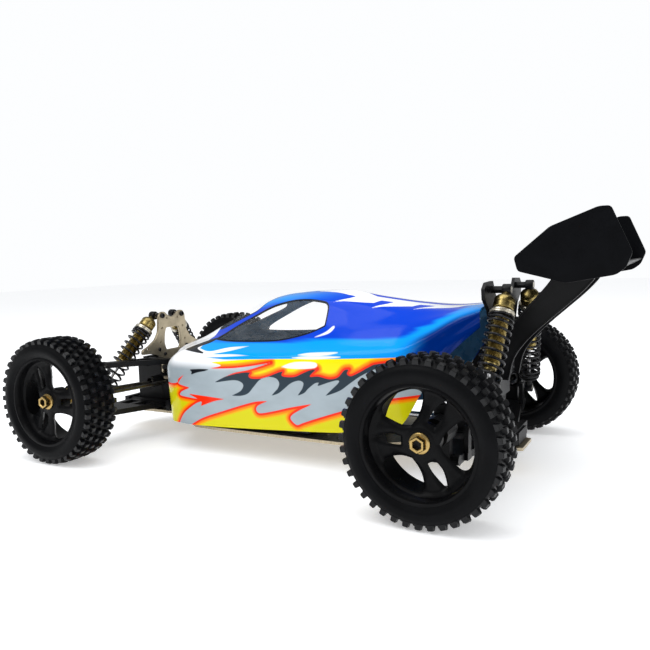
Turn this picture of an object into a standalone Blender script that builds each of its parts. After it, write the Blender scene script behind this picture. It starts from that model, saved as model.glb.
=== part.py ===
"""Fifth-scale four-wheel-drive off-road RC buggy, modelled as an assembly of separate parts.

The nose points along -Y, the car's left side is +X and up is +Z. All sizes are in metres. Heights
start at the ground. Lengths are stated from a datum halfway along the chassis, and one empty,
"buggy", carries everything to the middle of the car's length.
"""

import math

import bmesh
import bpy
from mathutils import Matrix, Vector

# Driving dimensions
TYRE_RADIUS = 0.088
TYRE_BORE = 0.060
HALF_WIDTH = 0.240
FRONT_AXLE = -0.268
REAR_AXLE = 0.275
WING_REAR = 0.457
CHASSIS_BOTTOM = 0.032
CHASSIS_THICK = 0.004
GAP = 0.0003
WHEEL_STEPS = 16
SMALL_STEPS = 10

CHASSIS_TOP = CHASSIS_BOTTOM + CHASSIS_THICK
DECK = CHASSIS_TOP + GAP
DATUM_SHIFT = -(WING_REAR + FRONT_AXLE - TYRE_RADIUS) / 2

# Suspension pivots: (x, z) of the inner pin, and of the outer pin
LOWER_PIN = (0.032, 0.048)
OUTER_PIN = (0.160, 0.054)
LOWER_PIN_HALF = 0.040
KINGPIN_X = 0.168
STEER_ARM = 0.036
PROP_Z = 0.060
CRANK = (0.030, -0.180)
RACK_Y = -0.220

ENDS = {
    "front": {
        "axle": FRONT_AXLE,
        "outward": -1,
        "tyre_half": 0.029,
        "upper_pin": (0.042, 0.120),
        "upper_pin_span": (-0.256, -0.206),
        "upper_eye": (0.158, -0.262, 0.126),
        "drive_inner": (0.040, -0.253, 0.084),
        "shock_top": (0.023, -0.260, 0.190),
        "shock_low": (0.130, -0.286, 0.068),
        "shock_lug": (0.0045, 0.0100),
    },
    "rear": {
        "axle": REAR_AXLE,
        "outward": 1,
        "tyre_half": 0.031,
        "upper_pin": (0.040, 0.115),
        "upper_pin_span": (0.262, 0.292),
        "upper_eye": (0.158, 0.275, 0.121),
        "drive_inner": (0.040, 0.275, 0.084),
        "shock_top": (0.062, 0.322, 0.232),
        "shock_low": (0.136, 0.306, 0.081),
        "shock_lug": (0.018, 0.0235),
    },
}
SIDES = {"left": 1, "right": -1}

# Body shell: each curve is (station y, value) from nose to tail
SHELL_THICK = 0.0015
SHELL_STATIONS = 20
SHELL_FRONT = -0.196
SHELL_REAR = 0.296
SHELL = {
    "roof_z": [(-0.196, 0.146), (-0.160, 0.160), (-0.120, 0.181), (-0.070, 0.207), (0.000, 0.225),
               (0.080, 0.230), (0.140, 0.221), (0.200, 0.213), (0.240, 0.210), (0.296, 0.214)],
    "edge_x": [(-0.196, 0.022), (-0.120, 0.044), (-0.046, 0.054), (0.070, 0.053), (0.150, 0.048),
               (0.220, 0.052), (0.296, 0.062)],
    "edge_z": [(-0.196, 0.144), (-0.120, 0.163), (-0.046, 0.190), (0.000, 0.211), (0.050, 0.219),
               (0.082, 0.216), (0.140, 0.210), (0.200, 0.207), (0.240, 0.207), (0.296, 0.213)],
    "sill_x": [(-0.196, 0.036), (-0.100, 0.068), (0.000, 0.074), (0.090, 0.073), (0.200, 0.074),
               (0.296, 0.076)],
    "sill_z": [(-0.196, 0.139), (-0.150, 0.151), (-0.097, 0.160), (-0.011, 0.161), (0.052, 0.171),
               (0.090, 0.183), (0.150, 0.186), (0.200, 0.190), (0.240, 0.199), (0.296, 0.212)],
    "crest_x": [(-0.196, 0.050), (-0.150, 0.086), (0.000, 0.092), (0.200, 0.090), (0.250, 0.088),
                (0.296, 0.080)],
    "crest_z": [(-0.196, 0.128), (-0.150, 0.144), (-0.080, 0.151), (0.020, 0.154), (0.110, 0.162),
                (0.190, 0.167), (0.230, 0.181), (0.272, 0.203), (0.296, 0.211)],
    "side_x": [(-0.196, 0.062), (-0.170, 0.094), (-0.140, 0.104), (0.020, 0.107), (0.160, 0.104),
               (0.240, 0.094), (0.296, 0.084)],
    "side_z": [(-0.196, 0.112), (-0.150, 0.128), (-0.050, 0.138), (0.080, 0.143), (0.200, 0.150),
               (0.240, 0.168), (0.276, 0.190), (0.296, 0.202)],
    "foot_x": [(-0.196, 0.058), (-0.160, 0.095), (-0.110, 0.104), (0.130, 0.105), (0.200, 0.099),
               (0.296, 0.083)],
    "foot_z": [(-0.196, 0.039), (-0.100, 0.041), (0.042, 0.048), (0.130, 0.054), (0.200, 0.068),
               (0.228, 0.110), (0.255, 0.150), (0.276, 0.172), (0.296, 0.190)],
}

# Wing: the foil's middle line and the end plate's outline, as (y, z)
FOIL = [(0.344, 0.263), (0.370, 0.2525), (0.395, 0.2475), (0.425, 0.251), (0.452, 0.263)]
FOIL_THICK = 0.003
END_PLATE = [(0.341, 0.269), (0.345, 0.254), (0.395, 0.241), (0.442, 0.249), (0.451, 0.256),
             (WING_REAR, 0.271), (0.441, 0.311), (0.433, 0.318), (0.425, 0.318), (0.378, 0.300)]
WING_HALF = 0.115
END_PLATE_THICK = 0.0025
STRUT = [(0.3045, 0.120), (0.3045, 0.160), (0.342, 0.216), (0.362, 0.2535), (0.370, 0.2503),
         (0.395, 0.2453), (0.415, 0.2475), (0.412, 0.240), (0.370, 0.205), (0.323, 0.149),
         (0.316, 0.120)]
STRUT_X = (0.025, 0.030)

# Tower outlines, right half from the middle of the top edge, as (x, z)
FRONT_TOWER = [(0.0, 0.186), (0.010, 0.190), (0.017, 0.1965), (0.026, 0.196), (0.032, 0.189),
               (0.033, 0.176), (0.038, 0.164), (0.053, 0.150), (0.070, 0.140), (0.071, 0.132),
               (0.052, 0.131), (0.040, 0.128), (0.026, 0.122), (0.026, 0.096)]
REAR_TOWER = [(0.0, 0.203), (0.020, 0.207), (0.044, 0.226), (0.056, 0.242), (0.084, 0.241),
              (0.094, 0.234), (0.092, 0.222), (0.072, 0.208), (0.046, 0.160), (0.026, 0.130),
              (0.026, 0.096)]
FRONT_TOWER_Y = (-0.2452, -0.2412)
REAR_TOWER_Y = (0.3002, 0.3042)

CHASSIS = [(0.0, -0.330), (0.026, -0.330), (0.032, -0.318), (0.030, -0.215), (0.060, -0.165),
           (0.086, -0.130), (0.090, -0.090), (0.090, 0.110), (0.082, 0.150), (0.050, 0.195),
           (0.030, 0.225), (0.030, 0.318), (0.024, 0.332), (0.0, 0.332)]


def clear_scene():
    for thing in list(bpy.data.objects):
        bpy.data.objects.remove(thing, do_unlink=True)


def collection(name):
    made = bpy.data.collections.new(name)
    bpy.context.scene.collection.children.link(made)
    return made


def material(name, colour, roughness, metallic=0.0):
    made = bpy.data.materials.new(name)
    made.use_nodes = True
    shader = made.node_tree.nodes["Principled BSDF"]
    shader.inputs["Base Color"].default_value = (*colour, 1.0)
    shader.inputs["Roughness"].default_value = roughness
    shader.inputs["Metallic"].default_value = metallic
    made.diffuse_color = (*colour, 1.0)
    return made


# Solids: each function returns a closed mesh in the car's datum frame


def finish_mesh(shape, name):
    mesh = bpy.data.meshes.new(name)
    shape.to_mesh(mesh)
    shape.free()
    return mesh


def evaluated_mesh(thing):
    bpy.context.view_layer.update()
    graph = bpy.context.evaluated_depsgraph_get()
    return bpy.data.meshes.new_from_object(thing.evaluated_get(graph))


def block(low, high):
    shape = bmesh.new()
    bmesh.ops.create_cube(shape, size=1.0)
    size = Vector(high) - Vector(low)
    middle = (Vector(high) + Vector(low)) / 2
    shape.transform(Matrix.Translation(middle) @ Matrix.Diagonal((*size, 1.0)))
    return finish_mesh(shape, "block")


def bevelled_block(low, high, width):
    mesh = block(low, high)
    shape = bmesh.new()
    shape.from_mesh(mesh)
    bmesh.ops.bevel(shape, geom=shape.edges[:], offset=width, segments=1, affect="EDGES")
    return finish_mesh(shape, "bevelled_block")


def pin(start, end, radius, sides=8):
    start = Vector(start)
    along = Vector(end) - start
    shape = bmesh.new()
    bmesh.ops.create_cone(shape, cap_ends=True, segments=sides, radius1=radius, radius2=radius,
                          depth=along.length)
    turn = along.to_track_quat("Z", "Y").to_matrix().to_4x4()
    shape.transform(Matrix.Translation(start + along / 2) @ turn)
    return finish_mesh(shape, "pin")


def ball(centre, radius):
    shape = bmesh.new()
    bmesh.ops.create_uvsphere(shape, u_segments=8, v_segments=5, radius=radius)
    shape.transform(Matrix.Translation(Vector(centre)))
    return finish_mesh(shape, "ball")


def turned(profile, steps, place, closed):
    """Turns a (radius, height) profile, listed down its outer side, about its local Z axis."""
    mesh = bpy.data.meshes.new("profile")
    count = len(profile)
    edges = [(i, (i + 1) % count) for i in range(count if closed else count - 1)]
    mesh.from_pydata([(radius, 0.0, height) for radius, height in profile], edges, [])
    thing = bpy.data.objects.new("profile", mesh)
    TOOLS.objects.link(thing)
    screw = thing.modifiers.new("turn", "SCREW")
    screw.steps = steps
    screw.render_steps = steps
    screw.use_merge_vertices = True
    screw.merge_threshold = 0.00001
    result = evaluated_mesh(thing)
    bpy.data.objects.remove(thing)
    shape = bmesh.new()
    shape.from_mesh(result)
    shape.transform(place)
    return finish_mesh(shape, "turned")


def plate(outlines, thickness, place):
    """Extrudes flat outlines by the thickness; outlines after the first are its holes."""
    curve = bpy.data.curves.new("outline", "CURVE")
    curve.dimensions = "2D"
    curve.fill_mode = "BOTH"
    curve.extrude = thickness / 2
    for outline in outlines:
        spline = curve.splines.new("POLY")
        spline.points.add(len(outline) - 1)
        for point, (x, y) in zip(spline.points, outline):
            point.co = (x, y, 0.0, 1.0)
        spline.use_cyclic_u = True
    thing = bpy.data.objects.new("outline", curve)
    TOOLS.objects.link(thing)
    result = evaluated_mesh(thing)
    bpy.data.objects.remove(thing)
    shape = bmesh.new()
    shape.from_mesh(result)
    bmesh.ops.remove_doubles(shape, verts=shape.verts, dist=0.00001)
    shape.transform(place)
    return finish_mesh(shape, "plate")


def coil(turns, per_turn, radius, wire, start, end):
    """A helix of round wire about the local Z axis, from height start to height end."""
    curve = bpy.data.curves.new("coil", "CURVE")
    curve.dimensions = "3D"
    curve.bevel_depth = wire
    curve.bevel_resolution = 0
    curve.use_fill_caps = True
    spline = curve.splines.new("POLY")
    count = turns * per_turn
    spline.points.add(count)
    for index, point in enumerate(spline.points):
        angle = math.tau * index / per_turn
        height = start + (end - start) * index / count
        point.co = (radius * math.cos(angle), radius * math.sin(angle), height, 1.0)
    thing = bpy.data.objects.new("coil", curve)
    TOOLS.objects.link(thing)
    result = evaluated_mesh(thing)
    bpy.data.objects.remove(thing)
    shape = bmesh.new()
    shape.from_mesh(result)
    bmesh.ops.remove_doubles(shape, verts=shape.verts, dist=0.00001)
    return finish_mesh(shape, "coil")


def moved(mesh, matrix):
    shape = bmesh.new()
    shape.from_mesh(mesh)
    shape.transform(matrix)
    if matrix.determinant() < 0:
        bmesh.ops.reverse_faces(shape, faces=shape.faces)
    return finish_mesh(shape, mesh.name)


def fuse(solids, cuts=()):
    """Joins closed solids into one and takes the cuts out of it."""
    base = bpy.data.objects.new("base", solids[0])
    TOOLS.objects.link(base)
    helpers = []
    for operation, group in (("UNION", solids[1:]), ("DIFFERENCE", cuts)):
        for mesh in group:
            helper = bpy.data.objects.new("helper", mesh)
            TOOLS.objects.link(helper)
            helpers.append(helper)
            boolean = base.modifiers.new(operation, "BOOLEAN")
            boolean.operation = operation
            boolean.solver = "EXACT"
            boolean.object = helper
    result = evaluated_mesh(base)
    for thing in [base, *helpers]:
        bpy.data.objects.remove(thing)
    return result


def add(name, mesh, look, origin=(0.0, 0.0, 0.0), smooth=False):
    """Adds a part whose origin is a point on its joint's axis."""
    made = mesh.copy()
    made.name = name
    made.transform(Matrix.Translation(-Vector(origin)))
    made.materials.clear()
    made.materials.append(look)
    if smooth:
        made.shade_smooth()
        made.set_sharp_from_angle(angle=math.radians(35))
    thing = bpy.data.objects.new(name, made)
    thing.location = origin
    thing.parent = ROOT
    PARTS.objects.link(thing)
    return thing


def side_matrix(side):
    return Matrix.Diagonal((side, 1.0, 1.0, 1.0))


def add_both_sides(end, part, mesh, look, origin, smooth=False):
    """Adds the left part of one axle and its mirror image on the right."""
    for side_name, side in SIDES.items():
        place = (side * origin[0], origin[1], origin[2])
        add(f"{end}_{side_name}_{part}", moved(mesh, side_matrix(side)), look, place, smooth)


# Turning a local Z axis to the world X axis, with a flat of the round part facing the ground
def across(x, y, z, steps):
    half_step = Matrix.Rotation(math.pi / steps, 4, "Z")
    return Matrix.Translation((x, y, z)) @ Matrix.Rotation(math.pi / 2, 4, "Y") @ half_step


def circle(x, y, radius, count=10):
    turn = math.tau / count
    return [(x + radius * math.cos(turn * i), y + radius * math.sin(turn * i)) for i in range(count)]


def mirrored_outline(half):
    """Closes a right-hand half outline with its mirror image."""
    left = [(-x, y) for x, y in reversed(half) if x > 0]
    return half + left


def curve_value(points, at):
    """Reads a smooth curve through the points, without overshoot between them."""
    slopes = []
    for (a, b), (c, d) in zip(points, points[1:]):
        slopes.append((d - b) / (c - a))
    tangents = [slopes[0]]
    for before, after in zip(slopes, slopes[1:]):
        flat = before * after <= 0
        tangents.append(0.0 if flat else 2 * before * after / (before + after))
    tangents.append(slopes[-1])
    at = min(max(at, points[0][0]), points[-1][0])
    index = max(i for i in range(len(points) - 1) if points[i][0] <= at)
    (a, b), (c, d) = points[index], points[index + 1]
    span = c - a
    t = (at - a) / span
    rise = (1 + 2 * t) * (1 - t) ** 2 * b + t * t * (3 - 2 * t) * d
    lean = t * (1 - t) ** 2 * tangents[index] - t * t * (1 - t) * tangents[index + 1]
    return rise + span * lean


# Wheels


def tyre_mesh(half, x, y):
    scale = 1 / math.cos(math.pi / WHEEL_STEPS)
    outer = [(TYRE_BORE, half - 0.006), (0.072, half), (0.083, half - 0.003),
             (TYRE_RADIUS, half - 0.012)]
    profile = outer + [(radius, -height) for radius, height in reversed(outer)]
    profile = [(radius * scale, height) for radius, height in profile]
    return turned(profile, WHEEL_STEPS, across(x, y, TYRE_RADIUS, WHEEL_STEPS), True)


def window_outline(angle, inner, outer, inner_half, outer_half):
    """A blunt wedge between two radii, in the wheel's own plane."""
    ring = []
    for radius, half in ((inner, inner_half), (outer, outer_half)):
        spread = [-1.0, 1.0] if radius == inner else [1.0, 0.35, -0.35, -1.0]
        for part in spread:
            turn = angle + part * half
            ring.append((radius * math.cos(turn), radius * math.sin(turn)))
    return ring


def rim_mesh(half, x, y):
    scale = 1 / math.cos(math.pi / WHEEL_STEPS)
    barrel = TYRE_BORE - GAP
    edge = half - 0.0025
    profile = [(barrel, edge), (barrel, -edge), (0.0570, -edge), (0.0550, 0.006), (0.0160, 0.005),
               (0.0160, -0.007), (0.0063, -0.007), (0.0063, 0.017), (0.0145, 0.017),
               (0.0170, 0.0125), (0.0500, 0.0130), (0.0560, 0.0200), (0.0575, edge)]
    profile = [(radius * scale, height) for radius, height in profile]
    place = across(x, y, TYRE_RADIUS, WHEEL_STEPS)
    cuts = []
    for third in range(3):
        angle = math.tau * third / 3 + math.pi / WHEEL_STEPS
        wide = window_outline(angle, 0.0225, 0.0500, math.radians(12), math.radians(26))
        slot = window_outline(angle + math.pi / 3, 0.0225, 0.0480, math.radians(6),
                              math.radians(4))
        for outline in (wide, slot):
            cuts.append(plate([outline], 0.030, place @ Matrix.Translation((0, 0, 0.010))))
    return fuse([turned(profile, WHEEL_STEPS, place, True)], cuts)


def axle_mesh(x, y):
    """Stub axle with its inner drive cup, two bearings, drive hex and flanged wheel nut."""
    profile = [(0.0, 0.0280), (0.0035, 0.0280), (0.0045, 0.0270), (0.0045, 0.0200),
               (0.0110, 0.0198), (0.0110, 0.0173), (0.0060, 0.0173), (0.0060, -0.0073),
               (0.0125, -0.0073), (0.0125, -0.0160), (0.0075, -0.0160), (0.0075, -0.0210),
               (0.0105, -0.0212), (0.0105, -0.0320), (0.0095, -0.0322), (0.0095, -0.0480),
               (0.0070, -0.0480), (0.0070, -0.0360), (0.0, -0.0360)]
    stub = turned(profile, SMALL_STEPS, across(x, y, TYRE_RADIUS, SMALL_STEPS), False)
    nut = pin((x + 0.0185, y, TYRE_RADIUS), (x + 0.0262, y, TYRE_RADIUS), 0.0100, 6)
    return fuse([stub, nut])


def add_wheels(end, data):
    x = HALF_WIDTH - data["tyre_half"]
    y = data["axle"]
    hub = (x, y, TYRE_RADIUS)
    add_both_sides(end, "tyre", tyre_mesh(data["tyre_half"], x, y), RUBBER, hub, True)
    add_both_sides(end, "rim", rim_mesh(data["tyre_half"], x, y), RIM_PLASTIC, hub, True)
    add_both_sides(end, "axle", axle_mesh(x, y), NUT_STEEL, hub, True)


# Suspension


def arm_frame(x, y, z, outer_x, outer_z, outward):
    """Local x runs out along the arm and local y towards the car's end."""
    slope = math.atan2(outer_z - z, outer_x - x)
    flip = Matrix.Diagonal((1.0, outward, 1.0, 1.0))
    return Matrix.Translation((x, y, z)) @ Matrix.Rotation(-slope, 4, "Y") @ flip


def lower_arm_mesh(data):
    place = arm_frame(LOWER_PIN[0], data["axle"], LOWER_PIN[1], *OUTER_PIN, data["outward"])
    reach = math.hypot(OUTER_PIN[0] - LOWER_PIN[0], OUTER_PIN[1] - LOWER_PIN[1])
    lug_low, lug_high = data["shock_lug"]
    lug_x = data["shock_low"][0] - LOWER_PIN[0]
    lug_top = data["shock_low"][2] - LOWER_PIN[1] + 0.001
    outline = [(0.0, -0.038), (0.104, -0.020), (0.118, -0.020), (0.118, 0.020), (0.104, 0.020),
               (0.0, 0.038)]
    near = [(0.016, -0.026), (0.046, -0.021), (0.046, -0.004), (0.016, -0.004)]
    far = [(0.016, 0.004), (0.046, 0.004), (0.046, 0.021), (0.016, 0.026)]
    solids = [
        plate([outline, near, far], 0.008, Matrix.Identity(4)),
        pin((0, -LOWER_PIN_HALF, 0), (0, LOWER_PIN_HALF, 0), 0.006),
        block((lug_x - 0.007, 0.0, -0.004), (lug_x + 0.007, lug_high, 0.004)),
        block((lug_x - 0.0055, lug_low, -0.003), (lug_x + 0.0055, lug_high, lug_top)),
    ]
    for low, high in ((-0.020, -0.012), (0.012, 0.020)):
        solids.append(block((0.115, low, -0.0045), (reach, high, 0.0045)))
        solids.append(pin((reach, low, 0), (reach, high, 0), 0.006))
    return moved(fuse(solids), place)


def upper_arm_mesh(data):
    pin_x, pin_z = data["upper_pin"]
    low, high = data["upper_pin_span"]
    eye_x, eye_y, eye_z = data["upper_eye"]
    slope = math.atan2(eye_z - pin_z, eye_x - pin_x)
    place = Matrix.Translation((pin_x, 0.0, pin_z)) @ Matrix.Rotation(-slope, 4, "Y")
    reach = math.hypot(eye_x - pin_x, eye_z - pin_z)
    outline = [(0.0, low + 0.001), (0.050, low + 0.0005), (reach - 0.008, eye_y - 0.007),
               (reach, eye_y - 0.007), (reach, eye_y + 0.007), (reach - 0.012, eye_y + 0.0085),
               (0.0, high - 0.001)]
    middle = 0.5 * eye_y + 0.25 * (low + high)
    gap = [(0.013, low + 0.009), (0.058, middle - 0.004), (0.058, middle + 0.004),
           (0.013, high - 0.010)]
    solids = [
        plate([outline, gap], 0.008, Matrix.Identity(4)),
        pin((0, low, 0), (0, high, 0), 0.005),
        pin((reach, eye_y, -0.004), (reach, eye_y, 0.004), 0.0072),
    ]
    return moved(fuse(solids), place)


def carrier_tube(x_inner, y):
    """The bearing housing that the stub axle turns in, with its bores."""
    x_outer = x_inner + 0.033
    shape = pin((x_inner, y, TYRE_RADIUS), (x_outer, y, TYRE_RADIUS), 0.0165, 12)
    wide = pin((x_inner - 0.02, y, TYRE_RADIUS), (x_outer - 0.0115, y, TYRE_RADIUS), 0.0126, 12)
    narrow = pin((x_outer - 0.020, y, TYRE_RADIUS), (x_outer + 0.01, y, TYRE_RADIUS), 0.0112, 12)
    return shape, [wide, narrow]


def front_carrier_mesh():
    """C-shaped hub: a lug above and a lug below the steering knuckle, on the lower arm's pin."""
    y = FRONT_AXLE
    pin_x, pin_z = OUTER_PIN
    solids = [
        block((0.143, y - 0.010, 0.066), (0.150, y + 0.010, 0.113)),
        block((0.1435, y - 0.0095, 0.0635), (0.176, y + 0.0095, 0.070)),
        block((0.1435, y - 0.0095, 0.106), (0.176, y + 0.0095, 0.1125)),
        block((pin_x - 0.0055, y - 0.009, pin_z), (pin_x + 0.0055, y + 0.009, 0.066)),
        pin((pin_x, y - 0.0115, pin_z), (pin_x, y + 0.0115, pin_z), 0.0058),
        pin((KINGPIN_X, y, 0.111), (KINGPIN_X, y, 0.1155), 0.0050),
        pin((0.157, y + 0.005, 0.110), (0.157, y + 0.005, 0.1195), 0.0042),
    ]
    hole = pin((0.135, y + 0.002, TYRE_RADIUS), (0.155, y + 0.002, TYRE_RADIUS), 0.0125, 14)
    sides = [
        block((0.143, y - 0.0145, 0.070), (0.150, y + 0.0145, 0.106)),
    ]
    return fuse(solids + sides, [hole])


def rear_carrier_mesh():
    y = REAR_AXLE
    pin_x, pin_z = OUTER_PIN
    tube, bores = carrier_tube(0.155, y)
    solids = [
        tube,
        block((pin_x - 0.0055, y - 0.0105, pin_z), (pin_x + 0.0055, y + 0.0105, 0.080)),
        pin((pin_x, y - 0.0115, pin_z), (pin_x, y + 0.0115, pin_z), 0.0058),
        block((0.1555, y - 0.007, 0.098), (0.1645, y + 0.007, 0.1140)),
        pin((0.158, y, 0.104), (0.158, y, 0.1150), 0.0042),
    ]
    return fuse(solids, bores)


def knuckle_mesh():
    y = FRONT_AXLE
    tube, bores = carrier_tube(0.157, y)
    solids = [
        tube,
        pin((KINGPIN_X, y, 0.0708), (KINGPIN_X, y, 0.1052), 0.0072),
        block((0.160, y + 0.008, 0.0935), (0.172, y + STEER_ARM, 0.0975)),
        pin((0.166, y + STEER_ARM, 0.0935), (0.166, y + STEER_ARM, 0.0975), 0.0060),
    ]
    return fuse(solids, bores)


def drive_shaft_mesh(data):
    inner = Vector(data["drive_inner"])
    wheel_x = HALF_WIDTH - data["tyre_half"]
    outer = Vector((wheel_x - 0.043, data["axle"], TYRE_RADIUS))
    return fuse([pin(inner, outer, 0.0029, 10), ball(inner, 0.0050), ball(outer, 0.0047)])


def shock_place(data):
    """Local Z runs from the shock's lower eye up to its top eye, which is at the origin."""
    top = Vector(data["shock_top"])
    axis = top - Vector(data["shock_low"])
    turn = axis.to_track_quat("Z", "Y").to_matrix().to_4x4()
    return Matrix.Translation(top) @ turn, axis.length


def eye_pin(at, radius, half):
    return pin((at[0], at[1] - half, at[2]), (at[0], at[1] + half, at[2]), radius)


def shock_body_mesh(data):
    place, _ = shock_place(data)
    profile = [(0.0, -0.004), (0.0045, -0.004), (0.0105, -0.0105), (0.0120, -0.013),
               (0.0120, -0.024), (0.0100, -0.0245), (0.0100, -0.0270), (0.0150, -0.0275),
               (0.0150, -0.0345), (0.0096, -0.0350), (0.0096, -0.0940), (0.0070, -0.0960),
               (0.0070, -0.0990), (0.0030, -0.0990), (0.0030, -0.0500), (0.0, -0.0500)]
    body = turned(profile, SMALL_STEPS, place, False)
    return fuse([body, eye_pin(data["shock_top"], 0.0068, 0.005)])


def shock_shaft_mesh(data):
    place, length = shock_place(data)
    perch = length - 0.022
    profile = [(0.0, -0.0780), (0.0024, -0.0780), (0.0024, -perch + 0.002), (0.0138, -perch + 0.0018),
               (0.0138, -perch - 0.003), (0.0045, -perch - 0.0035), (0.0045, -length + 0.003),
               (0.0, -length + 0.003)]
    shaft = turned(profile, SMALL_STEPS, place, False)
    return fuse([shaft, eye_pin(data["shock_low"], 0.0065, 0.0048)])


def spring_mesh(data):
    place, length = shock_place(data)
    wire = 0.0014
    top = -0.0345 - GAP - wire - 0.0007
    bottom = -(length - 0.022) + 0.0018 + GAP + wire + 0.0007
    return moved(coil(6, 7, 0.0128, wire, top, bottom), place)


def add_suspension(end, data):
    axle = data["axle"]
    top = data["shock_top"]
    low = data["shock_low"]
    upper = data["upper_pin"]
    pivot = (LOWER_PIN[0], axle, LOWER_PIN[1])
    add_both_sides(end, "lower_arm", lower_arm_mesh(data), ARM_PLASTIC, pivot)
    pivot = (upper[0], sum(data["upper_pin_span"]) / 2, upper[1])
    add_both_sides(end, "upper_arm", upper_arm_mesh(data), ARM_PLASTIC, pivot)
    carrier = front_carrier_mesh() if end == "front" else rear_carrier_mesh()
    pivot = (OUTER_PIN[0], axle, OUTER_PIN[1])
    add_both_sides(end, "hub_carrier", carrier, ARM_PLASTIC, pivot)
    add_both_sides(end, "drive_shaft", drive_shaft_mesh(data), SHAFT_STEEL, data["drive_inner"], True)
    add_both_sides(end, "shock_body", shock_body_mesh(data), SHOCK_GOLD, top, True)
    add_both_sides(end, "shock_shaft", shock_shaft_mesh(data), SHAFT_STEEL, low, True)
    add_both_sides(end, "spring", spring_mesh(data), SPRING_STEEL, top, True)


# Chassis, gearboxes and towers


def add_chassis():
    outline = mirrored_outline(CHASSIS)
    holes = [circle(x, y, 0.003, 6) for x in (-0.060, 0.060) for y in (-0.080, 0.080)]
    place = Matrix.Translation((0, 0, CHASSIS_BOTTOM + CHASSIS_THICK / 2))
    add("chassis_plate", plate([outline, *holes], CHASSIS_THICK, place), CHASSIS_TAN)


def outdrive(side, y):
    cup = pin((side * 0.020, y, 0.084), (side * 0.046, y, 0.084), 0.0092, 10)
    bore = pin((side * 0.033, y, 0.084), (side * 0.060, y, 0.084), 0.0072, 10)
    return cup, bore


def pin_holder(low, high):
    """The block across the car that holds the ends of both lower hinge pins."""
    return block((-0.040, low, DECK + 0.002), (0.040, high, 0.0555))


def add_front_gearbox():
    low, high = ENDS["front"]["upper_pin_span"]
    solids = [
        bevelled_block((-0.0255, -0.300, DECK), (0.0255, -0.2455, 0.115), 0.003),
        block((-0.0235, -0.252, DECK + 0.0005), (0.0235, -0.2330, 0.0950)),
        block((-0.0215, -0.2395, 0.085), (0.0215, -0.2345, 0.107)),
        block((-0.030, -0.2408, 0.104), (0.030, high + 0.0050, 0.110)),
        block((-0.022, -0.318, DECK + 0.001), (0.022, -0.290, 0.0530)),
        block((-0.021, -0.240, DECK + 0.001), (0.021, -0.2185, 0.0480)),
        pin_holder(FRONT_AXLE - LOWER_PIN_HALF - 0.0085, FRONT_AXLE - LOWER_PIN_HALF - 0.0005),
        pin_holder(FRONT_AXLE + LOWER_PIN_HALF + 0.0005, FRONT_AXLE + LOWER_PIN_HALF + 0.0080),
        pin((0, -0.240, PROP_Z), (0, -0.2197, PROP_Z), 0.0095, 10),
    ]
    cuts = []
    for side in (-1, 1):
        ends = sorted((side * 0.020, side * 0.0475))
        solids.append(block((ends[0], low - 0.0075, 0.110), (ends[1], low - 0.0005, 0.126)))
        solids.append(block((ends[0], high + 0.0005, 0.1055), (ends[1], high + 0.0068, 0.126)))
        cup, bore = outdrive(side, ENDS["front"]["drive_inner"][1])
        solids.append(cup)
        cuts.append(bore)
    add("front_gearbox", fuse(solids, cuts), HOUSING_PLASTIC)


def add_rear_gearbox():
    low, high = ENDS["rear"]["upper_pin_span"]
    solids = [
        bevelled_block((-0.0255, 0.240, DECK), (0.0255, 0.2999, 0.118), 0.003),
        block((-0.021, 0.2245, DECK + 0.001), (0.021, 0.250, 0.0480)),
        block((-0.022, 0.290, DECK + 0.001), (0.022, 0.3265, 0.0530)),
        pin_holder(REAR_AXLE - LOWER_PIN_HALF - 0.0080, REAR_AXLE - LOWER_PIN_HALF - 0.0005),
        pin_holder(REAR_AXLE + LOWER_PIN_HALF + 0.0005, REAR_AXLE + LOWER_PIN_HALF + 0.0085),
        pin((0, 0.2255, PROP_Z), (0, 0.245, PROP_Z), 0.0095, 10),
    ]
    cuts = []
    for side in (-1, 1):
        ends = sorted((side * 0.020, side * 0.0455))
        solids.append(block((ends[0], low - 0.0075, 0.108), (ends[1], low - 0.0005, 0.1217)))
        solids.append(block((ends[0], high + 0.0005, 0.108), (ends[1], 0.2995, 0.1217)))
        cup, bore = outdrive(side, REAR_AXLE)
        solids.append(cup)
        cuts.append(bore)
    add("rear_gearbox", fuse(solids, cuts), HOUSING_PLASTIC)


def upright(y_span):
    """Stands an (x, z) outline up in the plane across the car."""
    middle = sum(y_span) / 2
    return Matrix.Translation((0, middle, 0)) @ Matrix.Rotation(math.pi / 2, 4, "X")


def tower_mesh(outline, holes, y_span, data):
    thick = y_span[1] - y_span[0]
    shape = plate([mirrored_outline(outline), *holes], thick, upright(y_span))
    top = data["shock_top"]
    outward = data["outward"]
    face = sum(y_span) / 2
    reach = top[1] - outward * 0.0054
    posts = []
    for side in (-1, 1):
        posts.append(pin((side * top[0], face, top[2]), (side * top[0], reach, top[2]), 0.0042))
    return fuse([shape, *posts])


def add_towers():
    arch = [(-0.014, 0.132), (0.014, 0.132), (0.019, 0.145), (0.0175, 0.158), (0.009, 0.167),
            (-0.009, 0.167), (-0.0175, 0.158), (-0.019, 0.145)]
    small = [circle(side * 0.058, 0.1395, 0.0025, 8) for side in (-1, 1)]
    mesh = tower_mesh(FRONT_TOWER, [arch, *small], FRONT_TOWER_Y, ENDS["front"])
    add("front_shock_tower", mesh, CHASSIS_TAN)
    window = [(-0.020, 0.150), (0.020, 0.150), (0.034, 0.178), (0.026, 0.190), (-0.026, 0.190),
              (-0.034, 0.178)]
    small = [circle(side * 0.080, 0.232, 0.0025, 8) for side in (-1, 1)]
    mesh = tower_mesh(REAR_TOWER, [window, *small], REAR_TOWER_Y, ENDS["rear"])
    add("rear_shock_tower", mesh, ARM_PLASTIC)


# Body shell


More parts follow.
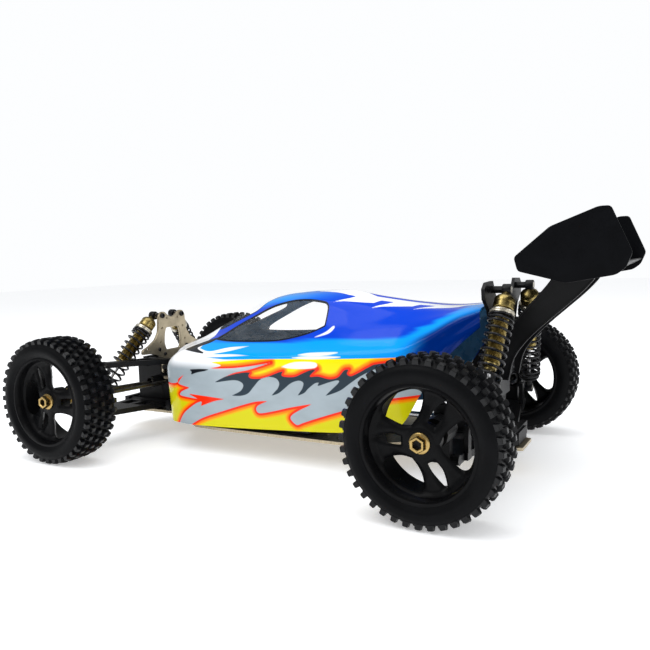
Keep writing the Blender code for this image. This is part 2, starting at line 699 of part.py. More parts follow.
def section(y):
    """Half of the shell's cross section at one station, from the roof's middle to the foot."""
    at = {name: curve_value(points, y) for name, points in SHELL.items()}
    edge_drop = at["roof_z"] - at["edge_z"]
    return [
        (0.0, at["roof_z"]),
        (at["edge_x"] * 0.55, at["roof_z"] - edge_drop * 0.25),
        (at["edge_x"], at["edge_z"]),
        (at["sill_x"], at["sill_z"]),
        (at["crest_x"], at["crest_z"]),
        ((at["crest_x"] + at["side_x"]) / 2 + 0.0035, (at["crest_z"] + at["side_z"]) / 2 + 0.002),
        (at["side_x"], at["side_z"]),
        ((at["side_x"] + at["foot_x"]) / 2 + 0.001, (at["side_z"] + at["foot_z"]) / 2),
        (at["foot_x"], at["foot_z"]),
    ]


def add_body_shell():
    shape = bmesh.new()
    rows = []
    for index in range(SHELL_STATIONS):
        y = SHELL_FRONT + (SHELL_REAR - SHELL_FRONT) * index / (SHELL_STATIONS - 1)
        half = section(y)
        ring = [(-x, z) for x, z in reversed(half[1:])] + half
        rows.append([shape.verts.new((x, y, z)) for x, z in ring])
    for row, after in zip(rows, rows[1:]):
        for i in range(len(row) - 1):
            shape.faces.new((row[i], row[i + 1], after[i + 1], after[i]))
    mesh = bpy.data.meshes.new("shell")
    bmesh.ops.recalc_face_normals(shape, faces=shape.faces)
    top = max(shape.faces, key=lambda face: face.calc_center_median().z)
    if top.normal.z < 0:
        bmesh.ops.reverse_faces(shape, faces=shape.faces)
    shape.to_mesh(mesh)
    shape.free()
    shell = add("body_shell", mesh, BODY_BLUE, smooth=True)
    wall = shell.modifiers.new("wall", "SOLIDIFY")
    wall.thickness = SHELL_THICK
    wall.offset = -1.0


# Wing


def lengthways(x):
    """Stands a (y, z) outline up along the car, in the plane at x."""
    turn = Matrix(((0, 0, 1), (1, 0, 0), (0, 1, 0))).to_4x4()
    return Matrix.Translation((x, 0, 0)) @ turn


def add_wing():
    above = [(y, z + FOIL_THICK / 2) for y, z in reversed(FOIL)]
    below = [(y, z - FOIL_THICK / 2) for y, z in FOIL]
    span = 2 * WING_HALF - END_PLATE_THICK
    solids = [plate([below + above], span, lengthways(0.0))]
    for side in (-1, 1):
        x = side * (WING_HALF - END_PLATE_THICK / 2)
        solids.append(plate([END_PLATE], END_PLATE_THICK, lengthways(x)))
    add("wing", fuse(solids), WING_BLACK)
    thick = STRUT_X[1] - STRUT_X[0]
    middle = sum(STRUT_X) / 2
    solids = [block((-STRUT_X[1], 0.3045, 0.122), (STRUT_X[1], 0.3105, 0.158))]
    solids.append(block((-STRUT_X[1] + 0.001, 0.3500, 0.222), (STRUT_X[1] - 0.001, 0.3850, 0.227)))
    for side in (-1, 1):
        solids.append(plate([STRUT], thick, lengthways(side * middle)))
    add("wing_mount", fuse(solids), ARM_PLASTIC)


# Steering


def add_steering():
    x, y = CRANK
    arm = y - RACK_Y
    servo = [
        bevelled_block((x - 0.016, y - 0.010, DECK), (x + 0.016, y + 0.052, 0.088), 0.0015),
        block((x - 0.016, y - 0.0115, 0.070), (x + 0.016, y + 0.062, 0.074)),
        pin((x, y, 0.085), (x, y, 0.0938), 0.0045),
    ]
    add("steering_servo", fuse(servo), CASE_BLACK)
    crank = [
        pin((x, y, 0.0942), (x, y, 0.1015), 0.0080),
        block((x - 0.005, RACK_Y, 0.0955), (x + 0.005, y, 0.1000)),
        pin((x, RACK_Y, 0.0955), (x, RACK_Y, 0.1000), 0.0060),
    ]
    add("steering_crank", fuse(crank), CHASSIS_TAN, (x, y, 0.0))
    outline = [(-0.041, -0.228), (0.041, -0.228), (0.041, -0.216), (0.020, -0.212), (-0.020, -0.212),
               (-0.041, -0.216)]
    holes = [circle(0.0, -0.220, 0.0035, 8), circle(-0.018, -0.220, 0.0025, 8)]
    place = Matrix.Translation((0, 0, 0.0925))
    add("steering_plate", plate([outline, *holes], 0.004, place), CHASSIS_TAN)
    for name, side in SIDES.items():
        inner = (0.034, -0.222, 0.0860)
        outer = (0.166, FRONT_AXLE + STEER_ARM, 0.0890)
        rod = [
            pin(inner, outer, 0.0030, 10),
            pin((inner[0], inner[1], 0.0825), (inner[0], inner[1], 0.0895), 0.0055),
            pin((outer[0], outer[1], 0.0855), (outer[0], outer[1], 0.0925), 0.0055),
        ]
        mesh = moved(fuse(rod), side_matrix(side))
        add(f"{name}_tie_rod", mesh, SHOCK_GOLD, (side * inner[0], inner[1], inner[2]), True)


# Drive train and power


def add_power():
    motor = [
        pin((-0.050, 0.022, 0.066), (-0.050, 0.0977, 0.066), 0.0270, 16),
        pin((-0.050, 0.016, 0.066), (-0.050, 0.024, 0.066), 0.0120),
    ]
    add("motor", fuse(motor), MOTOR_CAN, (-0.050, 0.060, 0.066), True)
    gears = [
        bevelled_block((-0.020, 0.0985, DECK), (0.020, 0.1420, 0.094), 0.003),
        block((-0.078, 0.0980, DECK), (0.018, 0.1040, 0.095)),
    ]
    add("centre_gearbox", fuse(gears), HOUSING_PLASTIC)
    battery = bevelled_block((0.024, -0.108, DECK), (0.078, 0.062, 0.085), 0.003)
    add("battery_pack", battery, CASE_BLACK)
    spans = {"front_prop_shaft": (-0.2191, 0.0976), "rear_prop_shaft": (0.1424, 0.2240)}
    for name, (low, high) in spans.items():
        shaft = [
            pin((0, low, PROP_Z), (0, high, PROP_Z), 0.0040, 10),
            pin((0, low, PROP_Z), (0, low + 0.014, PROP_Z), 0.0070),
            pin((0, high - 0.014, PROP_Z), (0, high, PROP_Z), 0.0070),
        ]
        add(name, fuse(shaft), SHAFT_STEEL, (0, (low + high) / 2, PROP_Z), True)


clear_scene()
PARTS = collection("rc_buggy")
TOOLS = collection("cutters")
ROOT = bpy.data.objects.new("buggy", None)
ROOT.location = (0.0, DATUM_SHIFT, 0.0)
PARTS.objects.link(ROOT)

RUBBER = material("tyre_rubber", (0.018, 0.018, 0.019), 0.85)
RIM_PLASTIC = material("rim_plastic", (0.012, 0.012, 0.013), 0.35)
NUT_STEEL = material("nut_brass", (0.55, 0.42, 0.18), 0.30, 1.0)
ARM_PLASTIC = material("arm_plastic", (0.014, 0.014, 0.015), 0.50)
HOUSING_PLASTIC = material("housing_plastic", (0.018, 0.018, 0.020), 0.55)
SHAFT_STEEL = material("shaft_steel", (0.50, 0.51, 0.52), 0.30, 1.0)
SHOCK_GOLD = material("shock_gold", (0.42, 0.33, 0.18), 0.30, 1.0)
SPRING_STEEL = material("spring_dark", (0.05, 0.05, 0.05), 0.35, 0.8)
CHASSIS_TAN = material("chassis_tan", (0.48, 0.42, 0.34), 0.35, 1.0)
BODY_BLUE = material("body_paint", (0.02, 0.20, 0.75), 0.15)
WING_BLACK = material("wing_black", (0.010, 0.010, 0.011), 0.30)
CASE_BLACK = material("case_black", (0.030, 0.030, 0.035), 0.40)
MOTOR_CAN = material("motor_can", (0.25, 0.26, 0.28), 0.35, 1.0)

for END_NAME, END_DATA in ENDS.items():
    add_wheels(END_NAME, END_DATA)
    add_suspension(END_NAME, END_DATA)
KNUCKLE_AT = (KINGPIN_X, FRONT_AXLE, TYRE_RADIUS)
add_both_sides("front", "knuckle", knuckle_mesh(), ARM_PLASTIC, KNUCKLE_AT)
add_chassis()
add_front_gearbox()
add_rear_gearbox()
add_towers()
add_body_shell()
add_wing()
add_steering()
add_power()
TOOLS.hide_render = True
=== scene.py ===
"""The looks of the rc buggy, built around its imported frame. Lengths are in metres.

Shapes are written in the car's own datum, with the wheelbase's zero at the datum, and every
piece is moved into the frame by the same shift along Y.
"""

import math

import bmesh
import bpy
import numpy as np
from mathutils import Matrix, Vector


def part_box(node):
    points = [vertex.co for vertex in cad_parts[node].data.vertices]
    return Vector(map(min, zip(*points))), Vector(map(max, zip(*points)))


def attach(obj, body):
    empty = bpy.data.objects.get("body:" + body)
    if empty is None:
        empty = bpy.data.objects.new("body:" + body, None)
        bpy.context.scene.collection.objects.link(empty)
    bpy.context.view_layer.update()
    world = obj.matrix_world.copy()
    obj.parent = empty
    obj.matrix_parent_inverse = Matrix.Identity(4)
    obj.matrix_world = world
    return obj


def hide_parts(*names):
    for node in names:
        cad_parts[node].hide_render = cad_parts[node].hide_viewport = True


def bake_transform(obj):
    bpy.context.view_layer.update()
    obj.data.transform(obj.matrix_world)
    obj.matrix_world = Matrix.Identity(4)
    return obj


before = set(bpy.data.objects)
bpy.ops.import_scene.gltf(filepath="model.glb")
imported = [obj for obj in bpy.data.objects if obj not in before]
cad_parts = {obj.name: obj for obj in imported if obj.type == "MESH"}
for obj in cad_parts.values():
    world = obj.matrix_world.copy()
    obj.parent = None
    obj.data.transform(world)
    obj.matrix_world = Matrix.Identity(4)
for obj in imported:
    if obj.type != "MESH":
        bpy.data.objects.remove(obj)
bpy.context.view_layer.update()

SIDES = {"left": 1, "right": -1}
REAR_AXLE = 0.275
FRONT_AXLE = -0.268
TYRE_RADIUS = 0.088
HALF_WIDTH = 0.240
REAR_TYRE_LOW, REAR_TYRE_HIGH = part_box("rear_left_tyre")
SHIFT = (REAR_TYRE_LOW.y + REAR_TYRE_HIGH.y) / 2 - REAR_AXLE
TO_FRAME = Matrix.Translation((0.0, SHIFT, 0.0))

# What differs between the two ends. The shocks' eyes are those of the left side.
ENDS = {
    "front": {
        "axle": FRONT_AXLE,
        "outward": -1,
        "tyre_half": 0.029,
        "shock_top": (0.023, -0.260, 0.190),
        "shock_low": (0.130, -0.286, 0.068),
        "turns": 11.5,
        "wheel_turn": math.radians(150),
    },
    "rear": {
        "axle": REAR_AXLE,
        "outward": 1,
        "tyre_half": 0.031,
        "shock_top": (0.062, 0.322, 0.232),
        "shock_low": (0.136, 0.306, 0.081),
        "turns": 13.5,
        "wheel_turn": math.radians(90),
    },
}

# The shell's long curves, as (station y, value) from nose to tail
SHELL_THICK = 0.0015
SHELL_FRONT = -0.196
SHELL_REAR = 0.296
SHELL = {
    "roof_z": [(-0.196, 0.146), (-0.160, 0.160), (-0.120, 0.181), (-0.070, 0.207), (0.000, 0.225),
               (0.080, 0.230), (0.140, 0.221), (0.200, 0.213), (0.240, 0.210), (0.296, 0.214)],
    "edge_x": [(-0.196, 0.022), (-0.120, 0.044), (-0.046, 0.054), (0.070, 0.053), (0.150, 0.048),
               (0.220, 0.052), (0.296, 0.062)],
    "edge_z": [(-0.196, 0.144), (-0.120, 0.163), (-0.046, 0.190), (0.000, 0.211), (0.050, 0.219),
               (0.082, 0.216), (0.140, 0.210), (0.200, 0.207), (0.240, 0.207), (0.296, 0.213)],
    "sill_x": [(-0.196, 0.036), (-0.100, 0.068), (0.000, 0.074), (0.090, 0.073), (0.200, 0.074),
               (0.296, 0.076)],
    "sill_z": [(-0.196, 0.139), (-0.150, 0.151), (-0.097, 0.160), (-0.011, 0.161), (0.052, 0.171),
               (0.090, 0.183), (0.150, 0.186), (0.200, 0.190), (0.240, 0.199), (0.296, 0.212)],
    "crest_x": [(-0.196, 0.050), (-0.150, 0.086), (0.000, 0.092), (0.200, 0.090), (0.250, 0.088),
                (0.296, 0.080)],
    "crest_z": [(-0.196, 0.128), (-0.150, 0.144), (-0.080, 0.151), (0.020, 0.154), (0.110, 0.162),
                (0.190, 0.167), (0.230, 0.181), (0.272, 0.203), (0.296, 0.211)],
    "side_x": [(-0.196, 0.062), (-0.170, 0.094), (-0.140, 0.104), (0.020, 0.107), (0.160, 0.104),
               (0.240, 0.094), (0.296, 0.084)],
    "side_z": [(-0.196, 0.112), (-0.150, 0.128), (-0.050, 0.138), (0.080, 0.143), (0.200, 0.150),
               (0.240, 0.168), (0.276, 0.190), (0.296, 0.202)],
    "foot_x": [(-0.196, 0.058), (-0.160, 0.095), (-0.110, 0.104), (0.130, 0.105), (0.200, 0.099),
               (0.296, 0.083)],
    "foot_z": [(-0.196, 0.039), (-0.100, 0.041), (0.042, 0.048), (0.130, 0.054), (0.200, 0.068),
               (0.228, 0.110), (0.255, 0.150), (0.276, 0.172), (0.296, 0.190)],
}

# Wing and plates, as in the frame: the foil's middle line and outlines as (y, z) or (x, z)
FOIL = [(0.344, 0.263), (0.370, 0.2525), (0.395, 0.2475), (0.425, 0.251), (0.452, 0.263)]
END_PLATE = [(0.341, 0.269), (0.345, 0.254), (0.395, 0.241), (0.442, 0.249), (0.451, 0.256),
             (0.457, 0.271), (0.4365, 0.318), (0.425, 0.318), (0.378, 0.300)]
WING_HALF = 0.115
END_PLATE_THICK = 0.0025
FRONT_TOWER = [(0.0, 0.186), (0.010, 0.190), (0.017, 0.1965), (0.026, 0.196), (0.0315, 0.189),
               (0.0320, 0.176), (0.0335, 0.164), (0.042, 0.152), (0.058, 0.143), (0.070, 0.139),
               (0.071, 0.132), (0.052, 0.131), (0.040, 0.128), (0.026, 0.122), (0.026, 0.096)]
FRONT_TOWER_Y = (-0.2452, -0.2412)


# Materials


def new_material(name):
    """A material with its node tree cleared down to one Principled shader and its output."""
    made = bpy.data.materials.new(name)
    made.use_nodes = True
    tree = made.node_tree
    tree.nodes.clear()
    shader = tree.nodes.new("ShaderNodeBsdfPrincipled")
    output = tree.nodes.new("ShaderNodeOutputMaterial")
    tree.links.new(shader.outputs["BSDF"], output.inputs["Surface"])
    return made, tree, shader


def place_node(tree, scale):
    """Object coordinates, scaled for a texture."""
    coords = tree.nodes.new("ShaderNodeTexCoord")
    mapping = tree.nodes.new("ShaderNodeMapping")
    mapping.inputs["Scale"].default_value = scale
    tree.links.new(coords.outputs["Object"], mapping.inputs["Vector"])
    return mapping.outputs["Vector"]


def noise(tree, size, scale=(1.0, 1.0, 1.0), detail=4.0, roughness=0.55):
    """A noise whose grains are about size metres across."""
    made = tree.nodes.new("ShaderNodeTexNoise")
    made.inputs["Scale"].default_value = 1.0 / size
    made.inputs["Detail"].default_value = detail
    made.inputs["Roughness"].default_value = roughness
    tree.links.new(place_node(tree, scale), made.inputs["Vector"])
    return made.outputs["Fac"]


def spread(tree, value, low, high, to_low, to_high):
    """Maps a value from one range to another, clamped."""
    made = tree.nodes.new("ShaderNodeMapRange")
    limits = {"From Min": low, "From Max": high, "To Min": to_low, "To Max": to_high}
    for socket, number in limits.items():
        made.inputs[socket].default_value = number
    tree.links.new(value, made.inputs["Value"])
    return made.outputs["Result"]


def blend_colour(tree, factor, under, over):
    """Lays one colour over another by a factor. A colour is a link or four numbers."""
    made = tree.nodes.new("ShaderNodeMix")
    made.data_type = "RGBA"
    tree.links.new(factor, made.inputs["Factor"])
    for socket, colour in (("A", under), ("B", over)):
        target = [s for s in made.inputs if s.name == socket and s.type == "RGBA"][0]
        if isinstance(colour, tuple):
            target.default_value = colour
        else:
            tree.links.new(colour, target)
    return [s for s in made.outputs if s.type == "RGBA"][0]


def relief(tree, shader, height, depth, strength=1.0):
    """Raises the surface by a height from 0 to 1, depth metres high."""
    bump = tree.nodes.new("ShaderNodeBump")
    bump.inputs["Strength"].default_value = strength
    bump.inputs["Distance"].default_value = depth
    tree.links.new(height, bump.inputs["Height"])
    tree.links.new(bump.outputs["Normal"], shader.inputs["Normal"])


def rgba(colour, gain=1.0):
    """Four numbers for a shader from a colour of three, made brighter or darker by a gain."""
    return tuple(min(1.0, part * gain) for part in colour) + (1.0,)


MOTTLE_SIZE = 0.018
SCUFF_SIZE = 0.006
MOTTLE_DARK, MOTTLE_LIGHT = 0.82, 1.14


def surface(name, colour, rough, metallic=0.0, grain=0.0012, depth=0.00008, wear=0.25,
            stretch=(1.0, 1.0, 1.0), shine=0.5):
    """A worked surface: mottled colour, uneven gloss and a fine grain, with light scuffs."""
    made, tree, shader = new_material(name)
    mottle = noise(tree, MOTTLE_SIZE, stretch, 3.0)
    fine = noise(tree, grain, stretch, 5.0)
    toned = blend_colour(tree, spread(tree, mottle, 0.35, 0.65, 0.0, 1.0),
                         rgba(colour, MOTTLE_DARK), rgba(colour, MOTTLE_LIGHT))
    scratches = noise(tree, SCUFF_SIZE, (1.0, 1.0, 4.0), 8.0, 0.7)
    scuffs = spread(tree, scratches, 0.62, 0.74, 0.0, wear)
    pale = tuple(0.6 * part + 0.06 for part in colour)
    toned = blend_colour(tree, scuffs, toned, rgba(pale))
    tree.links.new(toned, shader.inputs["Base Color"])
    gloss = spread(tree, fine, 0.3, 0.7, max(0.02, rough - 0.09), min(1.0, rough + 0.12))
    tree.links.new(gloss, shader.inputs["Roughness"])
    shader.inputs["Metallic"].default_value = metallic
    shader.inputs["Specular IOR Level"].default_value = shine
    relief(tree, shader, fine, depth)
    return made


RUBBER = surface("carcass_rubber", (0.0030, 0.0032, 0.0038), 0.42, grain=0.0018, depth=0.00012,
                 wear=0.03, shine=0.07)
TREAD = surface("tread_rubber", (0.0030, 0.0033, 0.0042), 0.34, grain=0.0009, depth=0.00012,
                wear=0.03, shine=0.28)
RIM_PLASTIC = surface("rim_nylon", (0.0030, 0.0031, 0.0036), 0.33, grain=0.0025, depth=0.00003,
                      wear=0.02, shine=0.08)
BRASS = surface("nut_brass_metal", (0.46, 0.32, 0.12), 0.27, 1.0, grain=0.0016, depth=0.00003)
ARM_PLASTIC = surface("arm_nylon", (0.0040, 0.0042, 0.0050), 0.36, grain=0.0008, depth=0.00010,
                      wear=0.04, shine=0.22)
HOUSING = surface("housing_nylon", (0.0055, 0.0056, 0.0064), 0.45, grain=0.0010, depth=0.00012,
                  wear=0.04, shine=0.18)
STEEL = surface("ground_steel", (0.50, 0.50, 0.51), 0.25, 1.0, grain=0.0015, depth=0.00002,
                stretch=(1.0, 1.0, 3.0))
GOLD = surface("gold_anodised", (0.33, 0.255, 0.095), 0.27, 1.0, grain=0.0012, depth=0.00003)
PALE_METAL = surface("pale_anodised", (0.66, 0.62, 0.52), 0.30, 1.0, grain=0.0012, depth=0.00003)
SPRING = surface("spring_black", (0.016, 0.016, 0.018), 0.26, 0.60, grain=0.0020, depth=0.00002,
                 wear=0.10)
PLATE_TAN = surface("champagne_anodised", (0.47, 0.40, 0.28), 0.36, 0.85, grain=0.0011,
                    depth=0.00004, stretch=(1.0, 6.0, 1.0))
WING_PLASTIC = surface("wing_nylon", (0.0030, 0.0033, 0.0042), 0.34, grain=0.0022, depth=0.00002,
                       wear=0.02, shine=0.06)
CASE = surface("case_plastic", (0.020, 0.021, 0.025), 0.38, grain=0.0009)
MOTOR = surface("motor_can_metal", (0.22, 0.23, 0.25), 0.32, 1.0, stretch=(1.0, 4.0, 1.0))
SCREW = surface("screw_steel", (0.035, 0.035, 0.038), 0.30, 0.9, grain=0.0010, depth=0.00002)
SHAFT = surface("dark_shaft_metal", (0.10, 0.095, 0.085), 0.30, 1.0, grain=0.0010, depth=0.00002)
# Near-black for the disc inside each wheel nut's bore: painted shade for the bore's dark inside.
NUT_BORE_SHADE = surface("painted_shade_nut_bore", (0.004, 0.004, 0.004), 0.70)
SHELL_INSIDE = surface("shell_inside_paint", (0.045, 0.150, 0.290), 0.30, grain=0.010, depth=0.00003,
                       wear=0.05, shine=0.4)

# The looks of the CAD nodes that stay visible, by how their names end
CAD_LOOKS = {
    "lower_arm": ARM_PLASTIC,
    "upper_arm": ARM_PLASTIC,
    "hub_carrier": ARM_PLASTIC,
    "knuckle": ARM_PLASTIC,
    "drive_shaft": SHAFT,
    "prop_shaft": STEEL,
    "gearbox": HOUSING,
    "rear_shock_tower": ARM_PLASTIC,
    "chassis_plate": PLATE_TAN,
    "wing_mount": ARM_PLASTIC,
    "steering_servo": CASE,
    "battery_pack": CASE,
    "steering_crank": PLATE_TAN,
    "steering_plate": PLATE_TAN,
    "tie_rod": SHAFT,
    "motor": MOTOR,
}


def dress_frame():
    """Gives each CAD node that stays visible its worked material."""
    for name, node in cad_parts.items():
        looks = [made for ending, made in CAD_LOOKS.items() if name.endswith(ending)]
        if looks:
            for slot in node.material_slots:
                slot.material = looks[0]


# Paint


def attribute(tree, name):
    """Reads a paint field that is kept on the shell's points."""
    made = tree.nodes.new("ShaderNodeAttribute")
    made.attribute_name = "paint_" + name
    return made.outputs["Fac"]


def inside(tree, name, soft=0.0003, bleed=0.0):
    """1 inside a painted outline and 0 outside. Bleed carries the colour past the outline."""
    return spread(tree, attribute(tree, name), -bleed - soft, soft - bleed, 0.0, 1.0)


def ramp(tree, value, stops):
    """Colours by a value, eased between (place, colour) stops."""
    made = tree.nodes.new("ShaderNodeValToRGB")
    made.color_ramp.interpolation = "EASE"
    elements = made.color_ramp.elements
    while len(elements) < len(stops):
        elements.new(0.5)
    for element, (at, colour) in zip(elements, stops):
        element.position = at
        element.color = rgba(colour)
    tree.links.new(value, made.inputs["Fac"])
    return made.outputs["Color"]


SILVER = (0.34, 0.40, 0.44)
WHITE = (0.90, 0.92, 0.95)
CHARCOAL = (0.018, 0.034, 0.050)
RED = (0.90, 0.025, 0.004)
ORANGE = (1.00, 0.26, 0.004)
YELLOW = (0.98, 0.80, 0.004)
# The lower fires' yellow: the band's yellow darkened as painted shade on the lower flank.
SHADED_LOW_YELLOW = (0.66, 0.62, 0.006)
# Cyan is laid on only as painted highlight, along the crest and under the roof's edge.
CYAN = (0.000, 0.32, 0.95)
BLUE = (0.000, 0.050, 0.60)
# Navy is laid on only as painted shade, under the crest at the tail.
NAVY = (0.000, 0.022, 0.20)
TRIM_BLACK = (0.010, 0.012, 0.016)
GLASS_DEEP = (0.86, 0.90, 0.93)
GLASS_PALE = (0.92, 0.95, 0.97)

# How far the heat of a flame reaches, by how much a pointed tip, the windows' black trim and a
# dart pass their outlines, and how soft the white's edge is
HEAT_REACH = 0.012
TIP_BLEED = 0.0003
TRIM_WIDTH = 0.0021
DART_BLEED = 0.0008
WHITE_SOFT = 0.0007

# The grain of the silver field, the streaks in the blue, and the crest's fade from cyan to blue: the
# cyan band along the crest is a painted highlight, made wavy by the streaks
CLOUD_SIZE = 0.030
STREAK_SIZE = 0.016
STREAK_WAVE = 0.34
CREST_LOW, CREST_HIGH = -0.022, 0.030
PEEL_SIZE = 0.035
PEEL_DEPTH = 0.0006


def fire(tree, distance, body):
    """Airbrushed heat: red at the outline, then orange, then the body colour."""
    heat = spread(tree, distance, 0.0, HEAT_REACH, 0.0, 1.0)
    return ramp(tree, heat, [(0.0, RED), (0.14, RED), (0.36, ORANGE), (0.72, body)])


def paint_material():
    """Painted polycarbonate. Each outline is a signed distance kept on the shell's points."""
    made, tree, shader = new_material("body_paint_livery")
    cloud = noise(tree, CLOUD_SIZE, (1.0, 0.45, 1.0), 3.0)
    field = blend_colour(tree, spread(tree, cloud, 0.35, 0.65, 0.0, 1.0), rgba(SILVER, 0.93),
                         rgba(SILVER, 1.10))
    # The upper flank turns white towards the nose: white paint at the nose, and a painted highlight
    # where it fades back between the band and the silver.
    colour = blend_colour(tree, attribute(tree, "pale"), field, rgba(WHITE))
    colour = blend_colour(tree, inside(tree, "flame", bleed=TIP_BLEED), colour, rgba(CHARCOAL))
    colour = blend_colour(tree, inside(tree, "band"), colour,
                          fire(tree, attribute(tree, "heat"), YELLOW))
    # The lower fires fade into a yellow darkened as painted shade.
    colour = blend_colour(tree, inside(tree, "fire", bleed=TIP_BLEED), colour,
                          fire(tree, attribute(tree, "fire"), SHADED_LOW_YELLOW))
    colour = blend_colour(tree, inside(tree, "flash", bleed=TIP_BLEED), colour, rgba(RED))
    # Painted highlight: the blue turns cyan in a band along the crest, made wavy by streaks.
    shade = spread(tree, attribute(tree, "crest"), CREST_LOW, CREST_HIGH, 0.0, 1.0)
    streak = noise(tree, STREAK_SIZE, (0.5, 0.07, 1.4), 2.0)
    wavy = tree.nodes.new("ShaderNodeMath")
    wavy.operation = "MULTIPLY_ADD"
    tree.links.new(streak, wavy.inputs[0])
    wavy.inputs[1].default_value = STREAK_WAVE
    tree.links.new(shade, wavy.inputs[2])
    blues = ramp(tree, spread(tree, wavy.outputs["Value"], 0.17, 1.17, 0.0, 1.0),
                 [(0.0, BLUE), (0.16, CYAN), (0.50, CYAN), (0.66, BLUE), (1.0, BLUE)])
    # Painted shade: the blue turns navy under the crest towards the tail.
    blues = blend_colour(tree, attribute(tree, "tail_shade"), blues, rgba(NAVY))
    # Painted highlight: cyan just under the roof's edge towards the front.
    blues = blend_colour(tree, attribute(tree, "roof_edge_highlight"), blues, rgba(CYAN))
    colour = blend_colour(tree, inside(tree, "blue"), colour, blues)
    # White paint on the deck, with the painted highlights of the glints on the flank.
    colour = blend_colour(tree, inside(tree, "white", WHITE_SOFT), colour, rgba(WHITE))
    colour = blend_colour(tree, inside(tree, "trim"), colour, rgba(TRIM_BLACK))
    tree.links.new(colour, shader.inputs["Base Color"])
    gloss = spread(tree, noise(tree, 0.012, detail=5.0), 0.3, 0.7, 0.08, 0.17)
    tree.links.new(gloss, shader.inputs["Roughness"])
    shader.inputs["Specular IOR Level"].default_value = 0.13
    shader.inputs["Coat Weight"].default_value = 0.08
    shader.inputs["Coat Roughness"].default_value = 0.05
    relief(tree, shader, noise(tree, PEEL_SIZE, detail=1.0), PEEL_DEPTH, 0.35)
    return made


def clear_material():
    """Clear polycarbonate with faint handling haze."""
    made, tree, shader = new_material("window_polycarbonate")
    haze = noise(tree, 0.010, (1.0, 0.5, 1.0), 6.0)
    tree.links.new(spread(tree, haze, 0.35, 0.70, 0.03, 0.12), shader.inputs["Roughness"])
    tint = blend_colour(tree, spread(tree, haze, 0.4, 0.6, 0.0, 1.0), rgba(GLASS_PALE),
                        rgba(GLASS_DEEP))
    tree.links.new(tint, shader.inputs["Base Color"])
    tree.links.new(spread(tree, haze, 0.45, 0.75, 0.02, 0.05), shader.inputs["Alpha"])
    shader.inputs["IOR"].default_value = 1.45
    return made


PAINT = paint_material()
CLEAR = clear_material()


# Mesh helpers

TINY = 1e-6
TUBE_RESOLUTION = 2
SHARP_EDGE = math.radians(38)


def to_mesh(shape):
    """Ends a bmesh as a mesh whose faces point out."""
    mesh = bpy.data.meshes.new("piece")
    bmesh.ops.recalc_face_normals(shape, faces=shape.faces)
    shape.to_mesh(mesh)
    shape.free()
    return mesh


def moved(mesh, place):
    """Moves a mesh, and keeps its faces outwards when the place is a mirror."""
    mesh.transform(place)
    if place.determinant() < 0:
        mesh.flip_normals()
    return mesh


def evaluated(thing):
    """The mesh that an object has with its modifiers or its curve's shape."""
    bpy.context.view_layer.update()
    graph = bpy.context.evaluated_depsgraph_get()
    mesh = bpy.data.meshes.new_from_object(thing.evaluated_get(graph), depsgraph=graph)
    bpy.data.objects.remove(thing)
    return mesh


def linked(name, data):
    """A new object in the scene."""
    thing = bpy.data.objects.new(name, data)
    bpy.context.scene.collection.objects.link(thing)
    return thing


def with_modifiers(mesh, *settings):
    """Runs modifiers, each a kind and its settings, over a mesh."""
    thing = linked("working", mesh)
    for kind, values in settings:
        modifier = thing.modifiers.new(kind.lower(), kind)
        for name, value in values.items():
            setattr(modifier, name, value)
    return evaluated(thing)


def revolved(profile, steps, closed=False):
    """Turns (radius, height) points around Z, and closes the profile where it is a ring's.

    A point (radius, height, True) lies on a hexagon of that radius.
    """
    shape = bmesh.new()
    rings = []
    for point in profile:
        radius, height = point[0], point[1]
        if radius < TINY:
            rings.append([shape.verts.new((0.0, 0.0, height))])
            continue
        ring = []
        for step in range(steps):
            angle = math.tau * step / steps
            reach = radius
            if len(point) > 2:
                from_flat = angle % (math.pi / 3) - math.pi / 6
                reach = radius * math.cos(math.pi / 6) / math.cos(from_flat)
            ring.append(shape.verts.new((reach * math.cos(angle), reach * math.sin(angle), height)))
        rings.append(ring)
    pairs = list(zip(rings, rings[1:]))
    if closed:
        pairs.append((rings[-1], rings[0]))
    for ring, after in pairs:
        for step in range(steps):
            nxt = (step + 1) % steps
            corners = [ring[step % len(ring)], ring[nxt % len(ring)], after[nxt % len(after)],
                       after[step % len(after)]]
            corners = list(dict.fromkeys(corners))
            if len(corners) > 2:
                shape.faces.new(corners)
    return to_mesh(shape)


def rounded_outline(points, radius, steps=5):
    """A closed outline with its corners rounded."""
    ring = []
    count = len(points)
    for index, point in enumerate(points):
        here = Vector(point)
        before = Vector(points[index - 1]) - here
        after = Vector(points[(index + 1) % count]) - here
        reach = min(radius, before.length * 0.45, after.length * 0.45)
        start = here + before.normalized() * reach
        end = here + after.normalized() * reach
        for step in range(steps + 1):
            t = step / steps
            ring.append(tuple((1 - t) ** 2 * start + 2 * t * (1 - t) * here + t * t * end))
    return ring


def circle(x, y, radius, steps=20):
    """A round hole's outline."""
    turns = [math.tau * step / steps for step in range(steps)]
    return [(x + radius * math.cos(turn), y + radius * math.sin(turn)) for turn in turns]


def sheet_plate(rings, thick, bevel=0.0004):
    """A flat plate from an outline and its holes, centred on Z, with softened edges."""
    curve = bpy.data.curves.new("plate", "CURVE")
    curve.dimensions = "2D"
    curve.fill_mode = "BOTH"
    curve.extrude = thick / 2 - bevel
    curve.bevel_depth = bevel
    curve.bevel_resolution = 1
    curve.offset = -bevel
    for ring in rings:
        spline = curve.splines.new("POLY")
        spline.points.add(len(ring) - 1)
        for point, (x, y) in zip(spline.points, ring):
            point.co = (x, y, 0.0, 1.0)
        spline.use_cyclic_u = True
    return evaluated(linked("plate", curve))


